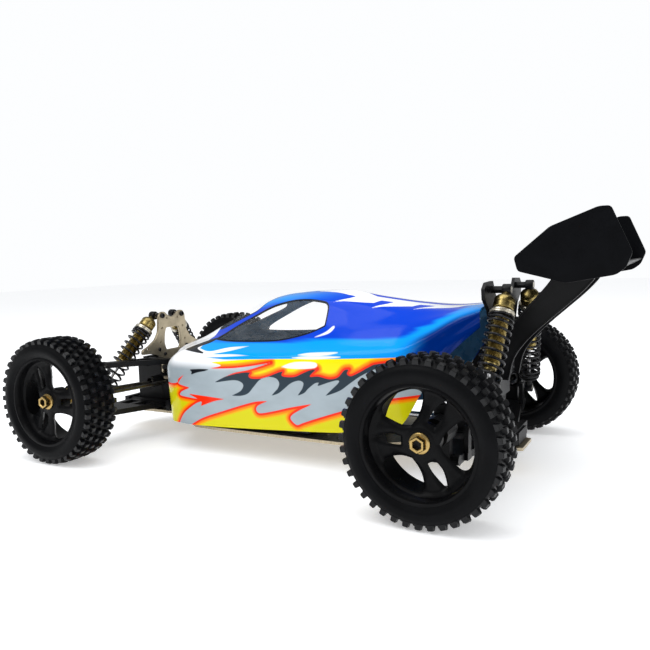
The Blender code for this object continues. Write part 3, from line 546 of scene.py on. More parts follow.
def tube(points, radius):
    """A round bar along points, with filled ends."""
    curve = bpy.data.curves.new("tube", "CURVE")
    curve.dimensions = "3D"
    curve.bevel_depth = radius
    curve.bevel_resolution = TUBE_RESOLUTION
    curve.use_fill_caps = True
    spline = curve.splines.new("POLY")
    spline.points.add(len(points) - 1)
    for point, co in zip(spline.points, points):
        point.co = (*co, 1.0)
    return evaluated(linked("tube", curve))


def block(low, high, bevel):
    """A box between two corners, with softened edges."""
    shape = bmesh.new()
    bmesh.ops.create_cube(shape, size=1.0)
    size = Vector(high) - Vector(low)
    middle = (Vector(high) + Vector(low)) / 2
    bmesh.ops.scale(shape, vec=size, verts=shape.verts)
    bmesh.ops.translate(shape, vec=middle, verts=shape.verts)
    bmesh.ops.bevel(shape, geom=shape.edges, offset=bevel, segments=2, affect="EDGES")
    return to_mesh(shape)


def pointing(origin, direction):
    """A place whose Z runs along a direction."""
    turn = Vector(direction).to_track_quat("Z", "Y").to_matrix().to_4x4()
    return Matrix.Translation(origin) @ turn


def join(parts):
    """Joins (mesh, material) pairs into one mesh that keeps the materials."""
    joined = bmesh.new()
    materials = []
    for mesh, look in parts:
        if look not in materials:
            materials.append(look)
        start = len(joined.faces)
        joined.from_mesh(mesh)
        joined.faces.ensure_lookup_table()
        for face in joined.faces[start:]:
            face.material_index = materials.index(look)
            face.smooth = True
        bpy.data.meshes.remove(mesh)
    mesh = bpy.data.meshes.new("joined")
    joined.to_mesh(mesh)
    joined.free()
    for look in materials:
        mesh.materials.append(look)
    mesh.set_sharp_from_angle(angle=SHARP_EDGE)
    return mesh


def piece(name, parts, body, replaced):
    """One visible piece on its body, from parts in the car's datum."""
    mesh = join(parts)
    mesh.transform(TO_FRAME)
    made = linked(name, mesh)
    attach(made, body)
    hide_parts(*replaced)


def cap_screw(at, direction, radius, height):
    """A round-headed hex socket screw whose head stands on a point, with its material."""
    socket = radius * 0.52
    profile = [(0.0, -0.002), (radius * 0.5, -0.002), (radius * 0.5, 0.0), (radius, 0.0),
               (radius, height * 0.55), (radius * 0.86, height * 0.88), (radius * 0.66, height),
               (socket, height, True), (socket, height * 0.35, True), (0.0, height * 0.35)]
    return moved(revolved(profile, 24), pointing(at, direction)), SCREW


# Signed distances for the paint and the windows


def curve_value(points, at):
    """Reads a smooth curve through the points, without overshoot between them."""
    slopes = [(d - b) / (c - a) for (a, b), (c, d) in zip(points, points[1:])]
    tangents = [slopes[0]]
    for before, after in zip(slopes, slopes[1:]):
        tangents.append(0.0 if before * after <= 0 else 2 * before * after / (before + after))
    tangents.append(slopes[-1])
    at = min(max(at, points[0][0]), points[-1][0])
    index = max(i for i in range(len(points) - 1) if points[i][0] <= at)
    (a, b), (c, d) = points[index], points[index + 1]
    span = c - a
    t = (at - a) / span
    rise = (1 + 2 * t) * (1 - t) ** 2 * b + t * t * (3 - 2 * t) * d
    lean = t * (1 - t) ** 2 * tangents[index] - t * t * (1 - t) * tangents[index + 1]
    return rise + span * lean


def flowing(points, steps=6):
    """A polyline through the points, curved between them and pointed where a point says True."""
    line = []
    count = len(points)
    for index in range(count - 1):
        here, after = np.array(points[index][:2]), np.array(points[index + 1][:2])
        before = np.array(points[max(index - 1, 0)][:2])
        beyond = np.array(points[min(index + 2, count - 1)][:2])
        lean_here = (after - before) / 2 if len(points[index]) < 3 else (after - here)
        lean_after = (beyond - here) / 2 if len(points[index + 1]) < 3 else (after - here)
        for step in range(steps):
            t = step / steps
            line.append((2 * t**3 - 3 * t**2 + 1) * here + (t**3 - 2 * t**2 + t) * lean_here
                        + (3 * t**2 - 2 * t**3) * after + (t**3 - t**2) * lean_after)
    line.append(np.array(points[-1][:2]))
    return np.array(line)


def line_distance(spots, line):
    """Distance of each spot from a polyline."""
    least = np.full(len(spots), 9.0)
    for a, b in zip(line, line[1:]):
        run = b - a
        length = float(run @ run)
        if length < 1e-14:
            continue
        t = np.clip((spots - a) @ run / length, 0.0, 1.0)
        least = np.minimum(least, np.linalg.norm(spots - a - t[:, None] * run, axis=1))
    return least


def signed_distance(spots, ring):
    """Distance from a closed outline, positive inside it."""
    closed = np.vstack([ring, ring[:1]])
    within = np.zeros(len(spots), bool)
    for a, b in zip(closed, closed[1:]):
        if abs(b[1] - a[1]) < 1e-12:
            continue
        crosses = (a[1] > spots[:, 1]) != (b[1] > spots[:, 1])
        at = a[0] + (spots[:, 1] - a[1]) * (b[0] - a[0]) / (b[1] - a[1])
        within ^= crosses & (spots[:, 0] < at)
    return np.where(within, 1.0, -1.0) * line_distance(spots, closed)


def smooth_step(value, low, high):
    """0 below the range and 1 above it, eased between."""
    t = np.clip((value - low) / (high - low), 0.0, 1.0)
    return t * t * (3 - 2 * t)


# Outlines on the flank as (y, z) and on the deck as (x, y). True marks a pointed corner.
SIDE_WINDOW = [(-0.098, 0.1625, True), (-0.074, 0.1765), (-0.046, 0.1905), (-0.010, 0.2070),
               (0.022, 0.2155), (0.050, 0.2175), (0.074, 0.2150), (0.0815, 0.2110), (0.0835, 0.2040),
               (0.0845, 0.1860, True), (0.066, 0.1780), (0.040, 0.1705), (0.010, 0.1650),
               (-0.030, 0.1625), (-0.070, 0.1615), (-0.098, 0.1625, True)]
# The windscreen, on the deck
SCREEN = [(0.0, -0.121, True), (0.020, -0.120), (0.033, -0.114), (0.038, -0.098), (0.041, -0.070),
          (0.0405, -0.046), (0.034, -0.038), (0.018, -0.034), (0.0, -0.033, True)]
# Dark and red darts and the fires, on the flank
NOSE_DART = [(-0.147, 0.1468, True), (-0.134, 0.1522), (-0.109, 0.1603), (-0.098, 0.1625, True),
             (-0.105, 0.1573), (-0.117, 0.1530), (-0.121, 0.1490), (-0.099, 0.1452, True),
             (-0.126, 0.1462), (-0.147, 0.1468, True)]
SIDE_DART = [(-0.118, 0.1208, True), (-0.101, 0.1224), (-0.085, 0.1228, True), (-0.105, 0.1187),
             (-0.116, 0.1152, True), (-0.115, 0.1185), (-0.118, 0.1208, True)]
FLASH = [(-0.122, 0.0855, True), (-0.095, 0.0845), (-0.060, 0.0829, True), (-0.078, 0.0785),
         (-0.101, 0.0700, True), (-0.101, 0.0770), (-0.122, 0.0855, True)]
NOSE_FIRE = [(-0.200, 0.0960, True), (-0.150, 0.0990), (-0.142, 0.1062), (-0.1315, 0.1125, True),
             (-0.140, 0.1044), (-0.142, 0.0985), (-0.1215, 0.0947, True), (-0.1375, 0.0880),
             (-0.1405, 0.0820), (-0.120, 0.0800), (-0.098, 0.0785), (-0.110, 0.0732), (-0.125, 0.0640),
             (-0.137, 0.0546), (-0.149, 0.0386), (-0.150, 0.0300, True), (-0.200, 0.0300, True),
             (-0.200, 0.0960, True)]
LOW_FIRE = [(-0.130, 0.0300, True), (-0.124, 0.0390, True), (-0.098, 0.0528), (-0.058, 0.0668),
            (-0.028, 0.0768), (-0.006, 0.0832), (0.0135, 0.0858, True), (0.0045, 0.0822),
            (-0.0035, 0.0775), (-0.0055, 0.0718), (0.001, 0.0678), (0.025, 0.0731), (0.049, 0.0797),
            (0.082, 0.0872, True), (0.072, 0.0822), (0.062, 0.0772), (0.051, 0.0700),
            (0.049, 0.0640), (0.058, 0.0570), (0.068, 0.0607), (0.094, 0.0704), (0.132, 0.0835),
            (0.180, 0.0990), (0.240, 0.1100, True), (0.240, 0.0200, True), (-0.130, 0.0300, True)]
# The dark flame's lower and upper edges, tail last, and the lick above it
FLAME_UNDER = [(-0.073, 0.1060, True), (-0.041, 0.1112), (-0.028, 0.1092), (-0.0245, 0.1040),
               (-0.0285, 0.0975), (-0.0350, 0.0935), (-0.0445, 0.0893, True), (-0.0300, 0.0902),
               (-0.0175, 0.0945), (-0.007, 0.1050), (0.003, 0.1145), (0.017, 0.1192), (0.029, 0.1180),
               (0.034, 0.1120), (0.0318, 0.1048), (0.0275, 0.1003), (0.0210, 0.0940, True),
               (0.0315, 0.0980), (0.0400, 0.1040), (0.0517, 0.1130), (0.064, 0.1172),
               (0.071, 0.1145), (0.0695, 0.1075), (0.0665, 0.1030), (0.0615, 0.0970, True),
               (0.0715, 0.1015), (0.0780, 0.1078), (0.088, 0.1152), (0.095, 0.1166, True),
               (0.0925, 0.1122), (0.1085, 0.1178), (0.119, 0.1208), (0.123, 0.1200), (0.1205, 0.1158),
               (0.1125, 0.1085), (0.1030, 0.0998, True), (0.1160, 0.1046), (0.1260, 0.1095),
               (0.139, 0.1190), (0.154, 0.1290), (0.176, 0.1390), (0.220, 0.1485, True)]
FLAME_OVER = [(-0.073, 0.1064, True), (-0.055, 0.1147), (-0.040, 0.1193), (-0.0234, 0.1227),
              (-0.0120, 0.1235, True), (-0.0153, 0.1187), (-0.0112, 0.1153), (0.003, 0.1159),
              (0.017, 0.1197), (0.0328, 0.1259), (0.0405, 0.1280, True), (0.0378, 0.1227),
              (0.043, 0.1207), (0.0577, 0.1216), (0.0693, 0.1265), (0.0807, 0.1313),
              (0.092, 0.1340, True), (0.0837, 0.1273), (0.081, 0.1229), (0.093, 0.1240),
              (0.1086, 0.1215), (0.1209, 0.1245), (0.1302, 0.1339), (0.137, 0.1356, True),
              (0.1337, 0.1300), (0.139, 0.1270), (0.151, 0.1325), (0.1625, 0.1390), (0.176, 0.1440),
              (0.220, 0.1490, True)]
FINGER = [(-0.073, 0.1064, True), (-0.044, 0.1198), (-0.018, 0.1260), (0.004, 0.1325),
          (0.022, 0.1386, True), (-0.010, 0.1323), (-0.043, 0.1275), (-0.087, 0.1243, True)]
# The yellow band's upper edge, the blue field's front and lower edges and its white glints, which are
# painted highlights
BAND_TOP = [(-0.087, 0.1243, True), (-0.062, 0.1300), (-0.081, 0.1338, True), (-0.043, 0.1381),
            (-0.0175, 0.1410), (0.010, 0.1434), (0.046, 0.1445), (0.125, 0.1480), (0.200, 0.1525),
            (0.216, 0.1530), (0.300, 0.1530, True)]
BLUE_FRONT = [(-0.1165, 0.1570, True), (-0.1150, 0.1497, True), (-0.0885, 0.1477), (-0.060, 0.1533),
              (-0.028, 0.1560, True), (-0.054, 0.1496), (-0.086, 0.1440, True), (-0.045, 0.1462),
              (-0.014, 0.1460, True), (-0.055, 0.1425), (-0.095, 0.1395, True),
              (-0.095, 0.1200, True), (0.400, 0.1000, True), (0.400, 0.3000, True),
              (-0.135, 0.3000, True), (-0.1165, 0.1570, True)]
BLUE_EDGE = [(-0.200, 0.1340), (-0.100, 0.1400), (-0.056, 0.1390), (-0.0175, 0.1410), (0.046, 0.1445),
             (0.125, 0.1480), (0.200, 0.1525), (0.208, 0.1500), (0.222, 0.1250), (0.300, 0.1200)]
GLINTS = [[(0.062, 0.1500), (0.080, 0.1530), (0.119, 0.1552), (0.094, 0.1508)],
          [(0.054, 0.1462), (0.080, 0.1488), (0.124, 0.1502), (0.086, 0.1460)],
          [(0.075, 0.1712), (0.090, 0.1780), (0.098, 0.1852), (0.1005, 0.1835), (0.094, 0.1765)],
          [(0.038, 0.1335), (0.058, 0.1405), (0.088, 0.1415), (0.088, 0.1350), (0.060, 0.1325)]]
# White on the deck: each tongue's tip and tail along Y, the middle stripe and the hood
TONGUES = [(0.088, 0.122), (0.142, 0.176), (0.200, 0.236)]
ROOF_STRIPE = [(-0.010, 0.030), (0.012, 0.048), (0.020, 0.070), (0.027, 0.100), (0.025, 0.300),
               (0.011, 0.300), (0.010, 0.135), (-0.010, 0.100)]
HOOD = [(-0.01, -0.20), (0.120, -0.20), (0.120, -0.138), (0.066, -0.133), (0.040, -0.126),
        (0.033, -0.122), (-0.01, -0.122)]


def tongue(tip, tail):
    """A white lick on the deck, from its tip back to the middle stripe."""
    return np.array([(0.050, tip), (0.045, tip + 0.014), (0.037, tail + 0.020),
                     (0.020, tail + 0.030), (0.020, tip + 0.030), (0.036, tip + 0.018)])


# The lowest height of the deck and of the windscreen, and the distances that stand for "outside"
DECK_LOW = 0.140
SCREEN_LOW = 0.150
OFF_DECK = -0.01
OFF_SCREEN = -0.02
GLINT_BLEED = 0.0003

# Where colours fade in or out: the pale nose, partly a painted highlight, the dark tail, a painted shade
# under the crest, and the light blue under the roof, a painted highlight
NOSE_WHITE_AND_HIGHLIGHT_UP = (0.120, 0.134)
NOSE_WHITE_AND_HIGHLIGHT_BACK = (-0.080, 0.020)
TAIL_SHADE_BACK = (0.195, 0.240)
TAIL_SHADE_UP = (-0.006, 0.004)
ROOF_EDGE_HIGHLIGHT_DROP = (0.016, 0.004)
ROOF_EDGE_HIGHLIGHT_FRONT = (-0.120, 0.020)


def livery(spots):
    """Paint fields on points in the car's datum, by name."""
    flank = spots[:, 1:3]
    deck = np.column_stack([np.abs(spots[:, 0]), spots[:, 1]])
    y, z = flank[:, 0], flank[:, 1]
    over, under, finger = flowing(FLAME_OVER), flowing(FLAME_UNDER), flowing(FINGER)
    flame = np.vstack([under, over[::-1]])
    band = np.vstack([over[::-1], finger, flowing(BAND_TOP)])
    heated = np.vstack([over[::-1], finger])
    white = signed_distance(deck, np.array(HOOD))
    for shape in [np.array(ROOF_STRIPE), *(tongue(*ends) for ends in TONGUES)]:
        white = np.maximum(white, signed_distance(deck, shape))
    white = np.where(z > DECK_LOW, white, OFF_DECK)
    # The glints are painted highlights, laid into the white field.
    for shape in GLINTS:
        ring = flowing([*shape, shape[0]], 4)
        white = np.maximum(white, signed_distance(flank, ring) + GLINT_BLEED)
    border = np.interp(y, [p[0] for p in BLUE_EDGE], [p[1] for p in BLUE_EDGE])
    windows = np.maximum(signed_distance(flank, flowing(SIDE_WINDOW)), signed_screen(deck))
    darts = np.maximum(signed_distance(flank, flowing(NOSE_DART)),
                       signed_distance(flank, flowing(SIDE_DART)))
    crest = np.array([curve_value(SHELL["crest_z"], at) for at in y])
    roof = np.array([curve_value(SHELL["roof_z"], at) for at in y])
    return {
        "flame": signed_distance(flank, flame),
        "band": signed_distance(flank, band),
        "heat": line_distance(flank, heated),
        "fire": np.maximum(signed_distance(flank, flowing(LOW_FIRE)),
                           signed_distance(flank, flowing(NOSE_FIRE))),
        "flash": signed_distance(flank, flowing(FLASH)),
        "blue": np.minimum(z - border, signed_distance(flank, flowing(BLUE_FRONT))),
        "white": white,
        "trim": np.maximum(windows + TRIM_WIDTH, darts + DART_BLEED),
        "crest": z - crest,
        # White paint at the nose, fading back into a painted highlight.
        "pale": smooth_step(z, *NOSE_WHITE_AND_HIGHLIGHT_UP) * (1 - smooth_step(y, *NOSE_WHITE_AND_HIGHLIGHT_BACK)),
        # Painted shade: navy under the crest at the tail.
        "tail_shade": smooth_step(y, *TAIL_SHADE_BACK) * (1 - smooth_step(z - crest, *TAIL_SHADE_UP)),
        # Painted highlight: cyan just under the roof's edge, fading out towards the tail.
        "roof_edge_highlight": smooth_step(z, *(roof - drop for drop in ROOF_EDGE_HIGHLIGHT_DROP)) * smooth_step(-y, *ROOF_EDGE_HIGHLIGHT_FRONT),
    }


def signed_screen(deck):
    """Signed distance of the windscreen's outline on (x, y) points."""
    ring = flowing(SCREEN)
    mirrored = ring * np.array([-1.0, 1.0])
    return signed_distance(deck, np.vstack([ring, mirrored[::-1]]))


def window_depth(spots):
    """Positive on the clear side windows and the windscreen."""
    side = signed_distance(spots[:, 1:3], flowing(SIDE_WINDOW))
    screen = signed_screen(np.column_stack([spots[:, 0], spots[:, 1]]))
    return np.maximum(side, np.where(spots[:, 2] > SCREEN_LOW, screen, OFF_SCREEN))


# Body shell

# For each corner of the section, the share of its sides that is rounded and the steps around it;
# then the steps along each straight run, and the distance between two stations
ROUNDING = {1: 0.45, 2: 0.26, 3: 0.20, 4: 0.34, 5: 0.42, 6: 0.30, 7: 0.45}
BEND_STEPS = {1: 5, 2: 6, 3: 6, 4: 7, 5: 6, 6: 14, 7: 36}
STRAIGHT_STEPS = [5, 5, 18, 8, 5, 5, 11, 20]
STATION_STEP = 0.0014
GLASS_THICK = 0.0010

# The roof's middle point as shares of its edge, and how far the flank's two middle points bulge
ROOF_SHARE = 0.55
ROOF_DROP_SHARE = 0.25
SHOULDER_BULGE = (0.0035, 0.002)
SIDE_BULGE = 0.001
SHELL_SHARP_EDGE = math.radians(50)


def section(y):
    """Half of the shell's cross section at one station, from the roof's middle to the foot."""
    at = {name: curve_value(points, y) for name, points in SHELL.items()}
    edge_drop = at["roof_z"] - at["edge_z"]
    return [
        (0.0, at["roof_z"]),
        (at["edge_x"] * ROOF_SHARE, at["roof_z"] - edge_drop * ROOF_DROP_SHARE),
        (at["edge_x"], at["edge_z"]),
        (at["sill_x"], at["sill_z"]),
        (at["crest_x"], at["crest_z"]),
        ((at["crest_x"] + at["side_x"]) / 2 + SHOULDER_BULGE[0],
         (at["crest_z"] + at["side_z"]) / 2 + SHOULDER_BULGE[1]),
        (at["side_x"], at["side_z"]),
        ((at["side_x"] + at["foot_x"]) / 2 + SIDE_BULGE, (at["side_z"] + at["foot_z"]) / 2),
        (at["foot_x"], at["foot_z"]),
    ]


def fine_section(y):
    """The section with its corners rounded, always with the same number of points."""
    points = [Vector(p) for p in section(y)]
    last = len(points) - 1
    line = []
    for index in range(last):
        here, after = points[index], points[index + 1]
        run = after - here
        start = here + run * ROUNDING.get(index, 0.0)
        end = after - run * ROUNDING.get(index + 1, 0.0)
        steps = STRAIGHT_STEPS[index]
        for step in range(steps + 1):
            line.append(start.lerp(end, step / steps))
        if index + 1 < last:
            leave = after + (points[index + 2] - after) * ROUNDING[index + 1]
            bends = BEND_STEPS[index + 1]
            for step in range(1, bends):
                t = step / bends
                line.append((1 - t) ** 2 * end + 2 * t * (1 - t) * after + t * t * leave)
    return line


def shell_surface():
    """The shell's outer skin on a fine grid, cut along the edges of its windows."""
    shape = bmesh.new()
    stations = round((SHELL_REAR - SHELL_FRONT) / STATION_STEP)
    rows = []
    for index in range(stations + 1):
        y = SHELL_FRONT + (SHELL_REAR - SHELL_FRONT) * index / stations
        half = fine_section(y)
        ring = [(-x, z) for x, z in reversed(half[1:])] + [tuple(p) for p in half]
        rows.append([shape.verts.new((x, y, z)) for x, z in ring])
    for row, after in zip(rows, rows[1:]):
        for i in range(len(row) - 1):
            shape.faces.new((row[i], row[i + 1], after[i + 1], after[i]))
    cut_along(shape, window_depth)
    return shape


CUT_MARGIN = 0.02


def cut_along(shape, depth_of):
    """Splits faces where a signed distance changes sign."""
    shape.verts.ensure_lookup_table()
    shape.verts.index_update()
    depth = depth_of(np.array([v.co for v in shape.verts]))
    depth = np.where(np.abs(depth) < TINY, TINY, depth)
    crossings = []
    for edge in list(shape.edges):
        a, b = depth[edge.verts[0].index], depth[edge.verts[1].index]
        if a * b < 0:
            crossings.append((edge, edge.verts[0], a / (a - b)))
    cuts = []
    for edge, start, share in crossings:
        share = min(max(share, CUT_MARGIN), 1 - CUT_MARGIN)
        cuts.append(bmesh.utils.edge_split(edge, start, share)[1])
    bmesh.ops.connect_verts(shape, verts=cuts)


def split_faces(shape, depth_of):
    """The faces on the positive side of a signed distance, and the rest."""
    faces = list(shape.faces)
    middles = np.array([f.calc_center_median() for f in faces])
    depth = depth_of(middles)
    clear = [f for f, d in zip(faces, depth) if d > 0]
    painted = [f for f, d in zip(faces, depth) if d <= 0]
    return clear, painted


def store_livery(mesh):
    """Keeps each paint field on the mesh's points."""
    spots = np.zeros(len(mesh.vertices) * 3)
    mesh.vertices.foreach_get("co", spots)
    fields = livery(spots.reshape(-1, 3))
    for name, values in fields.items():
        layer = mesh.attributes.new("paint_" + name, "FLOAT", "POINT")
        layer.data.foreach_set("value", values.astype(np.float32))


def add_shell_piece(name, clear, thick, looks):
    """The painted part of the skin or its clear windows, walled inwards."""
    shape = shell_surface()
    glazed, painted = split_faces(shape, window_depth)
    bmesh.ops.delete(shape, geom=painted if clear else glazed, context="FACES")
    shape.normal_update()
    top = max(shape.faces, key=lambda f: f.calc_center_median().z)
    if top.normal.z < 0:
        bmesh.ops.reverse_faces(shape, faces=shape.faces)
    mesh = bpy.data.meshes.new(name)
    shape.to_mesh(mesh)
    shape.free()
    if not clear:
        store_livery(mesh)
    for look in looks:
        mesh.materials.append(look)
    walls = {"thickness": thick, "offset": -1.0, "material_offset": len(looks) - 1}
    mesh = with_modifiers(mesh, ("SOLIDIFY", walls))
    for polygon in mesh.polygons:
        polygon.use_smooth = True
    mesh.set_sharp_from_angle(angle=SHELL_SHARP_EDGE)
    mesh.transform(TO_FRAME)
    made = linked(name, mesh)
    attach(made, "chassis")
    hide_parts("body_shell")


def add_body_shell():
    """The painted shell with its inner coat, and its clear windows."""
    add_shell_piece("body_shell_paint", False, SHELL_THICK, [PAINT, SHELL_INSIDE])
    add_shell_piece("body_windows", True, GLASS_THICK, [CLEAR])


# Wheels

# The tread's blocks, in two inner columns, a middle one and two at the shoulders
TREAD_ROWS = 40
TREAD_DEPTH = 0.0050
BLOCK_LENGTH = 0.0068
BLOCK_WIDTH = 0.0066
BLOCK_ROOT = 0.0012
BLOCK_BEVEL = 0.0006
BLOCK_ROOT_TAPER, BLOCK_TOP_TAPER = 1.10, 0.88
INNER_COLUMN = 0.0125
OUTER_COLUMN_INSET = 0.0068
INNER_SINK, OUTER_SINK = 0.0003, 0.0016
INNER_LEAN, OUTER_LEAN = math.radians(3), math.radians(17)
CARCASS_RADIUS = 0.0832

# The rim's disc: its grid, its radii, and its height, dish, crown and ridges
DISC_RINGS = 30
DISC_TURNS = 180
DISC_INNER = 0.0075
DISC_OUTER = 0.0566
DISC_THICK = 0.0060
DISC_HEIGHT = 0.0172
DISC_DISH = 0.0055
DISC_LIP = 0.0040
CROWN_HEIGHT = 0.0022
CROWN_REACH = 0.0055
RIDGE_HEIGHT = 0.0012
RIDGE_SPREAD = 0.10


def wheel_place(end, side):
    """Local Z points out along the axle, from the wheel's middle plane."""
    data = ENDS[end]
    x = SIDES[side] * (HALF_WIDTH - data["tyre_half"])
    turn = Matrix.Rotation(SIDES[side] * math.pi / 2, 4, "Y")
    return Matrix.Translation((x, data["axle"], TYRE_RADIUS)) @ turn


def tread_block(length, width, height):
    """One tapered block with softened edges, standing on the origin."""
    shape = bmesh.new()
    bmesh.ops.create_cube(shape, size=1.0)
    for vert in shape.verts:
        top = vert.co.z > 0
        taper = BLOCK_TOP_TAPER if top else BLOCK_ROOT_TAPER
        vert.co = Vector((vert.co.x * length * taper, vert.co.y * width * taper,
                          height if top else -BLOCK_ROOT))
    upper = [e for e in shape.edges if all(v.co.z > 0 for v in e.verts)]
    bmesh.ops.bevel(shape, geom=upper, offset=BLOCK_BEVEL, segments=2, affect="EDGES")
    return to_mesh(shape)


def tyre_parts(half):
    """A carcass of revolution and staggered rows of square blocks."""
    side = [(0.0600, half - 0.0070), (0.0610, half - 0.0042), (0.0630, half - 0.0026),
            (0.0650, half - 0.0022), (0.0665, half - 0.0008), (0.0700, half - 0.0001),
            (0.0745, half - 0.0004), (0.0775, half - 0.0016), (0.0788, half - 0.0026),
            (0.0800, half - 0.0030), (0.0816, half - 0.0058), (0.0826, half - 0.0110),
            (CARCASS_RADIUS, half - 0.0200)]
    profile = side + [(r, -h) for r, h in reversed(side)]
    shoulder = half - OUTER_COLUMN_INSET
    columns = [(0.0, 0.0), (INNER_COLUMN, 0.5), (-INNER_COLUMN, 0.5), (shoulder, 0.0), (-shoulder, 0.0)]
    blocks = bmesh.new()
    template = tread_block(BLOCK_LENGTH, BLOCK_WIDTH, TREAD_DEPTH)
    for row in range(TREAD_ROWS):
        for along, stagger in columns:
            angle = math.tau * (row + stagger) / TREAD_ROWS
            outer = abs(along) > INNER_COLUMN
            base = CARCASS_RADIUS - (OUTER_SINK if outer else INNER_SINK)
            lean = math.copysign(OUTER_LEAN if outer else INNER_LEAN, along) if along else 0.0
            place = (Matrix.Rotation(angle, 4, "Z") @ Matrix.Translation((base, 0.0, along))
                     @ Matrix.Rotation(math.pi / 2 - lean, 4, "Y"))
            copy = template.copy()
            copy.transform(place)
            blocks.from_mesh(copy)
            bpy.data.meshes.remove(copy)
    bpy.data.meshes.remove(template)
    return [(revolved(profile, 96, closed=True), RUBBER), (to_mesh(blocks), TREAD)]


def wheel_window(spots):
    """Signed distance of the wheel's six openings: three wide leaves and three narrow wedges."""
    half = [(0.0195, 0.0, True), (0.0240, 0.0095), (0.0325, 0.0185), (0.0420, 0.0245),
            (0.0500, 0.0190), (0.0540, 0.0)]
    wide = flowing(half + [(x, -y, *rest) for x, y, *rest in half[-2::-1]])
    slim = flowing([(0.0215, 0.0045, True), (0.0340, 0.0052), (0.0490, 0.0012), (0.0490, -0.0012),
                    (0.0340, -0.0052), (0.0215, -0.0045, True), (0.0215, 0.0045, True)])
    depth = np.full(len(spots), -1.0)
    for sixth in range(6):
        turn = -math.tau * sixth / 6
        x = spots[:, 0] * math.cos(turn) - spots[:, 1] * math.sin(turn)
        y = spots[:, 0] * math.sin(turn) + spots[:, 1] * math.cos(turn)
        ring = slim if sixth % 2 else wide
        depth = np.maximum(depth, signed_distance(np.column_stack([x, y]), ring))
    return depth


def spoke_face():
    """The dished disc with its openings, crowned between them."""
    shape = bmesh.new()
    grid = []
    for ring in range(DISC_RINGS + 1):
        radius = DISC_INNER + (DISC_OUTER - DISC_INNER) * ring / DISC_RINGS
        grid.append([shape.verts.new((*spot, 0.0)) for spot in circle(0.0, 0.0, radius, DISC_TURNS)])
    for row, after in zip(grid, grid[1:]):
        for step in range(DISC_TURNS):
            nxt = (step + 1) % DISC_TURNS
            shape.faces.new((row[step], row[nxt], after[nxt], after[step]))
    cut_along(shape, wheel_window)
    clear, _ = split_faces(shape, wheel_window)
    bmesh.ops.delete(shape, geom=clear, context="FACES")
    spots = np.array([v.co for v in shape.verts])
    depth = wheel_window(spots)
    radius = np.hypot(spots[:, 0], spots[:, 1])
    dish = DISC_DISH * smooth_step(radius, 0.016, 0.040)
    lip = DISC_LIP * smooth_step(radius, 0.050, DISC_OUTER)
    crown = CROWN_HEIGHT * np.clip(1 + depth / CROWN_REACH, 0.0, 1.0) ** 2
    spoke = np.abs(np.sin(1.5 * (np.arctan2(spots[:, 1], spots[:, 0]))))
    ridge = RIDGE_HEIGHT * np.exp(-((spoke - 1.0) / RIDGE_SPREAD) ** 2)
    ridge *= smooth_step(radius, 0.018, 0.030)
    for vert, height in zip(shape.verts, DISC_HEIGHT - dish + lip - crown + ridge):
        vert.co.z = height
    mesh = bpy.data.meshes.new("spokes")
    shape.normal_update()
    if sum(f.normal.z for f in shape.faces) < 0:
        bmesh.ops.reverse_faces(shape, faces=shape.faces)
    shape.to_mesh(mesh)
    shape.free()
    return with_modifiers(mesh, ("SOLIDIFY", {"thickness": DISC_THICK, "offset": -1.0}))


def rim_parts(half, turn):
    """Barrel with its flanges, spokes, hub and the step rings of a moulded wheel."""
    edge = half - 0.0025
    barrel = [(0.0597, edge - 0.0030), (0.0618, edge - 0.0022), (0.0624, edge - 0.0008),
              (0.0612, edge), (0.0590, edge), (0.0578, edge - 0.0012), (0.0566, 0.0185),
              (0.0560, 0.0150), (0.0556, 0.0060), (0.0566, -0.0060), (0.0572, -edge + 0.0010),
              (0.0590, -edge), (0.0612, -edge), (0.0624, -edge + 0.0008), (0.0618, -edge + 0.0022),
              (0.0597, -edge + 0.0030)]
    hub = [(0.0068, 0.0177), (0.0146, 0.0177), (0.0160, 0.0170), (0.0170, 0.0100), (0.0162, -0.0070),
           (0.0068, -0.0070)]
    spokes = moved(spoke_face(), Matrix.Rotation(turn, 4, "Z"))
    meshes = [revolved(barrel, 120, closed=True), spokes, revolved(hub, 48, closed=True)]
    return [(mesh, RIM_PLASTIC) for mesh in meshes]


def axle_parts():
    """Stub axle with its drive hex and cup, and the flanged wheel nut, with a near-black disc in the
    nut's bore as painted shade.
    """
    shaft = [(0.0, 0.0195), (0.0044, 0.0195), (0.0048, 0.0190), (0.0048, -0.0073), (0.0, -0.0073)]
    drive_hex = [(0.0, -0.0073), (0.0120, -0.0073, True), (0.0125, -0.0080, True),
                 (0.0125, -0.0155, True), (0.0120, -0.0160, True), (0.0, -0.0160)]
    tail = [(0.0, -0.0160), (0.0065, -0.0160), (0.0065, -0.0212), (0.0105, -0.0212),
            (0.0105, -0.0310), (0.0080, -0.0315), (0.0080, -0.0328), (0.0095, -0.0334),
            (0.0095, -0.0480), (0.0078, -0.0480), (0.0076, -0.0352), (0.0, -0.0348)]
    flange = [(0.0049, 0.0177), (0.0106, 0.0177), (0.0112, 0.0184), (0.0108, 0.0196),
              (0.0094, 0.0205), (0.0049, 0.0207)]
    nut = [(0.0052, 0.0190), (0.0088, 0.0190), (0.0088, 0.0262, True), (0.0080, 0.0275, True),
           (0.0060, 0.0277, True), (0.0052, 0.0270, True)]
    # A near-black disc in the nut's bore: painted shade for its dark inside.
    shade_disc = [(0.0, 0.0214), (0.0034, 0.0214, True), (0.0036, 0.0222, True), (0.0048, 0.0222),
              (0.0048, 0.0206), (0.0, 0.0206)]
    return [(revolved(shaft, 24), STEEL), (revolved(drive_hex, 24), GOLD),
            (revolved(tail, 32), STEEL), (revolved(flange, 48, closed=True), BRASS),
            (revolved(nut, 6, closed=True), BRASS), (revolved(shade_disc, 24), NUT_BORE_SHADE)]


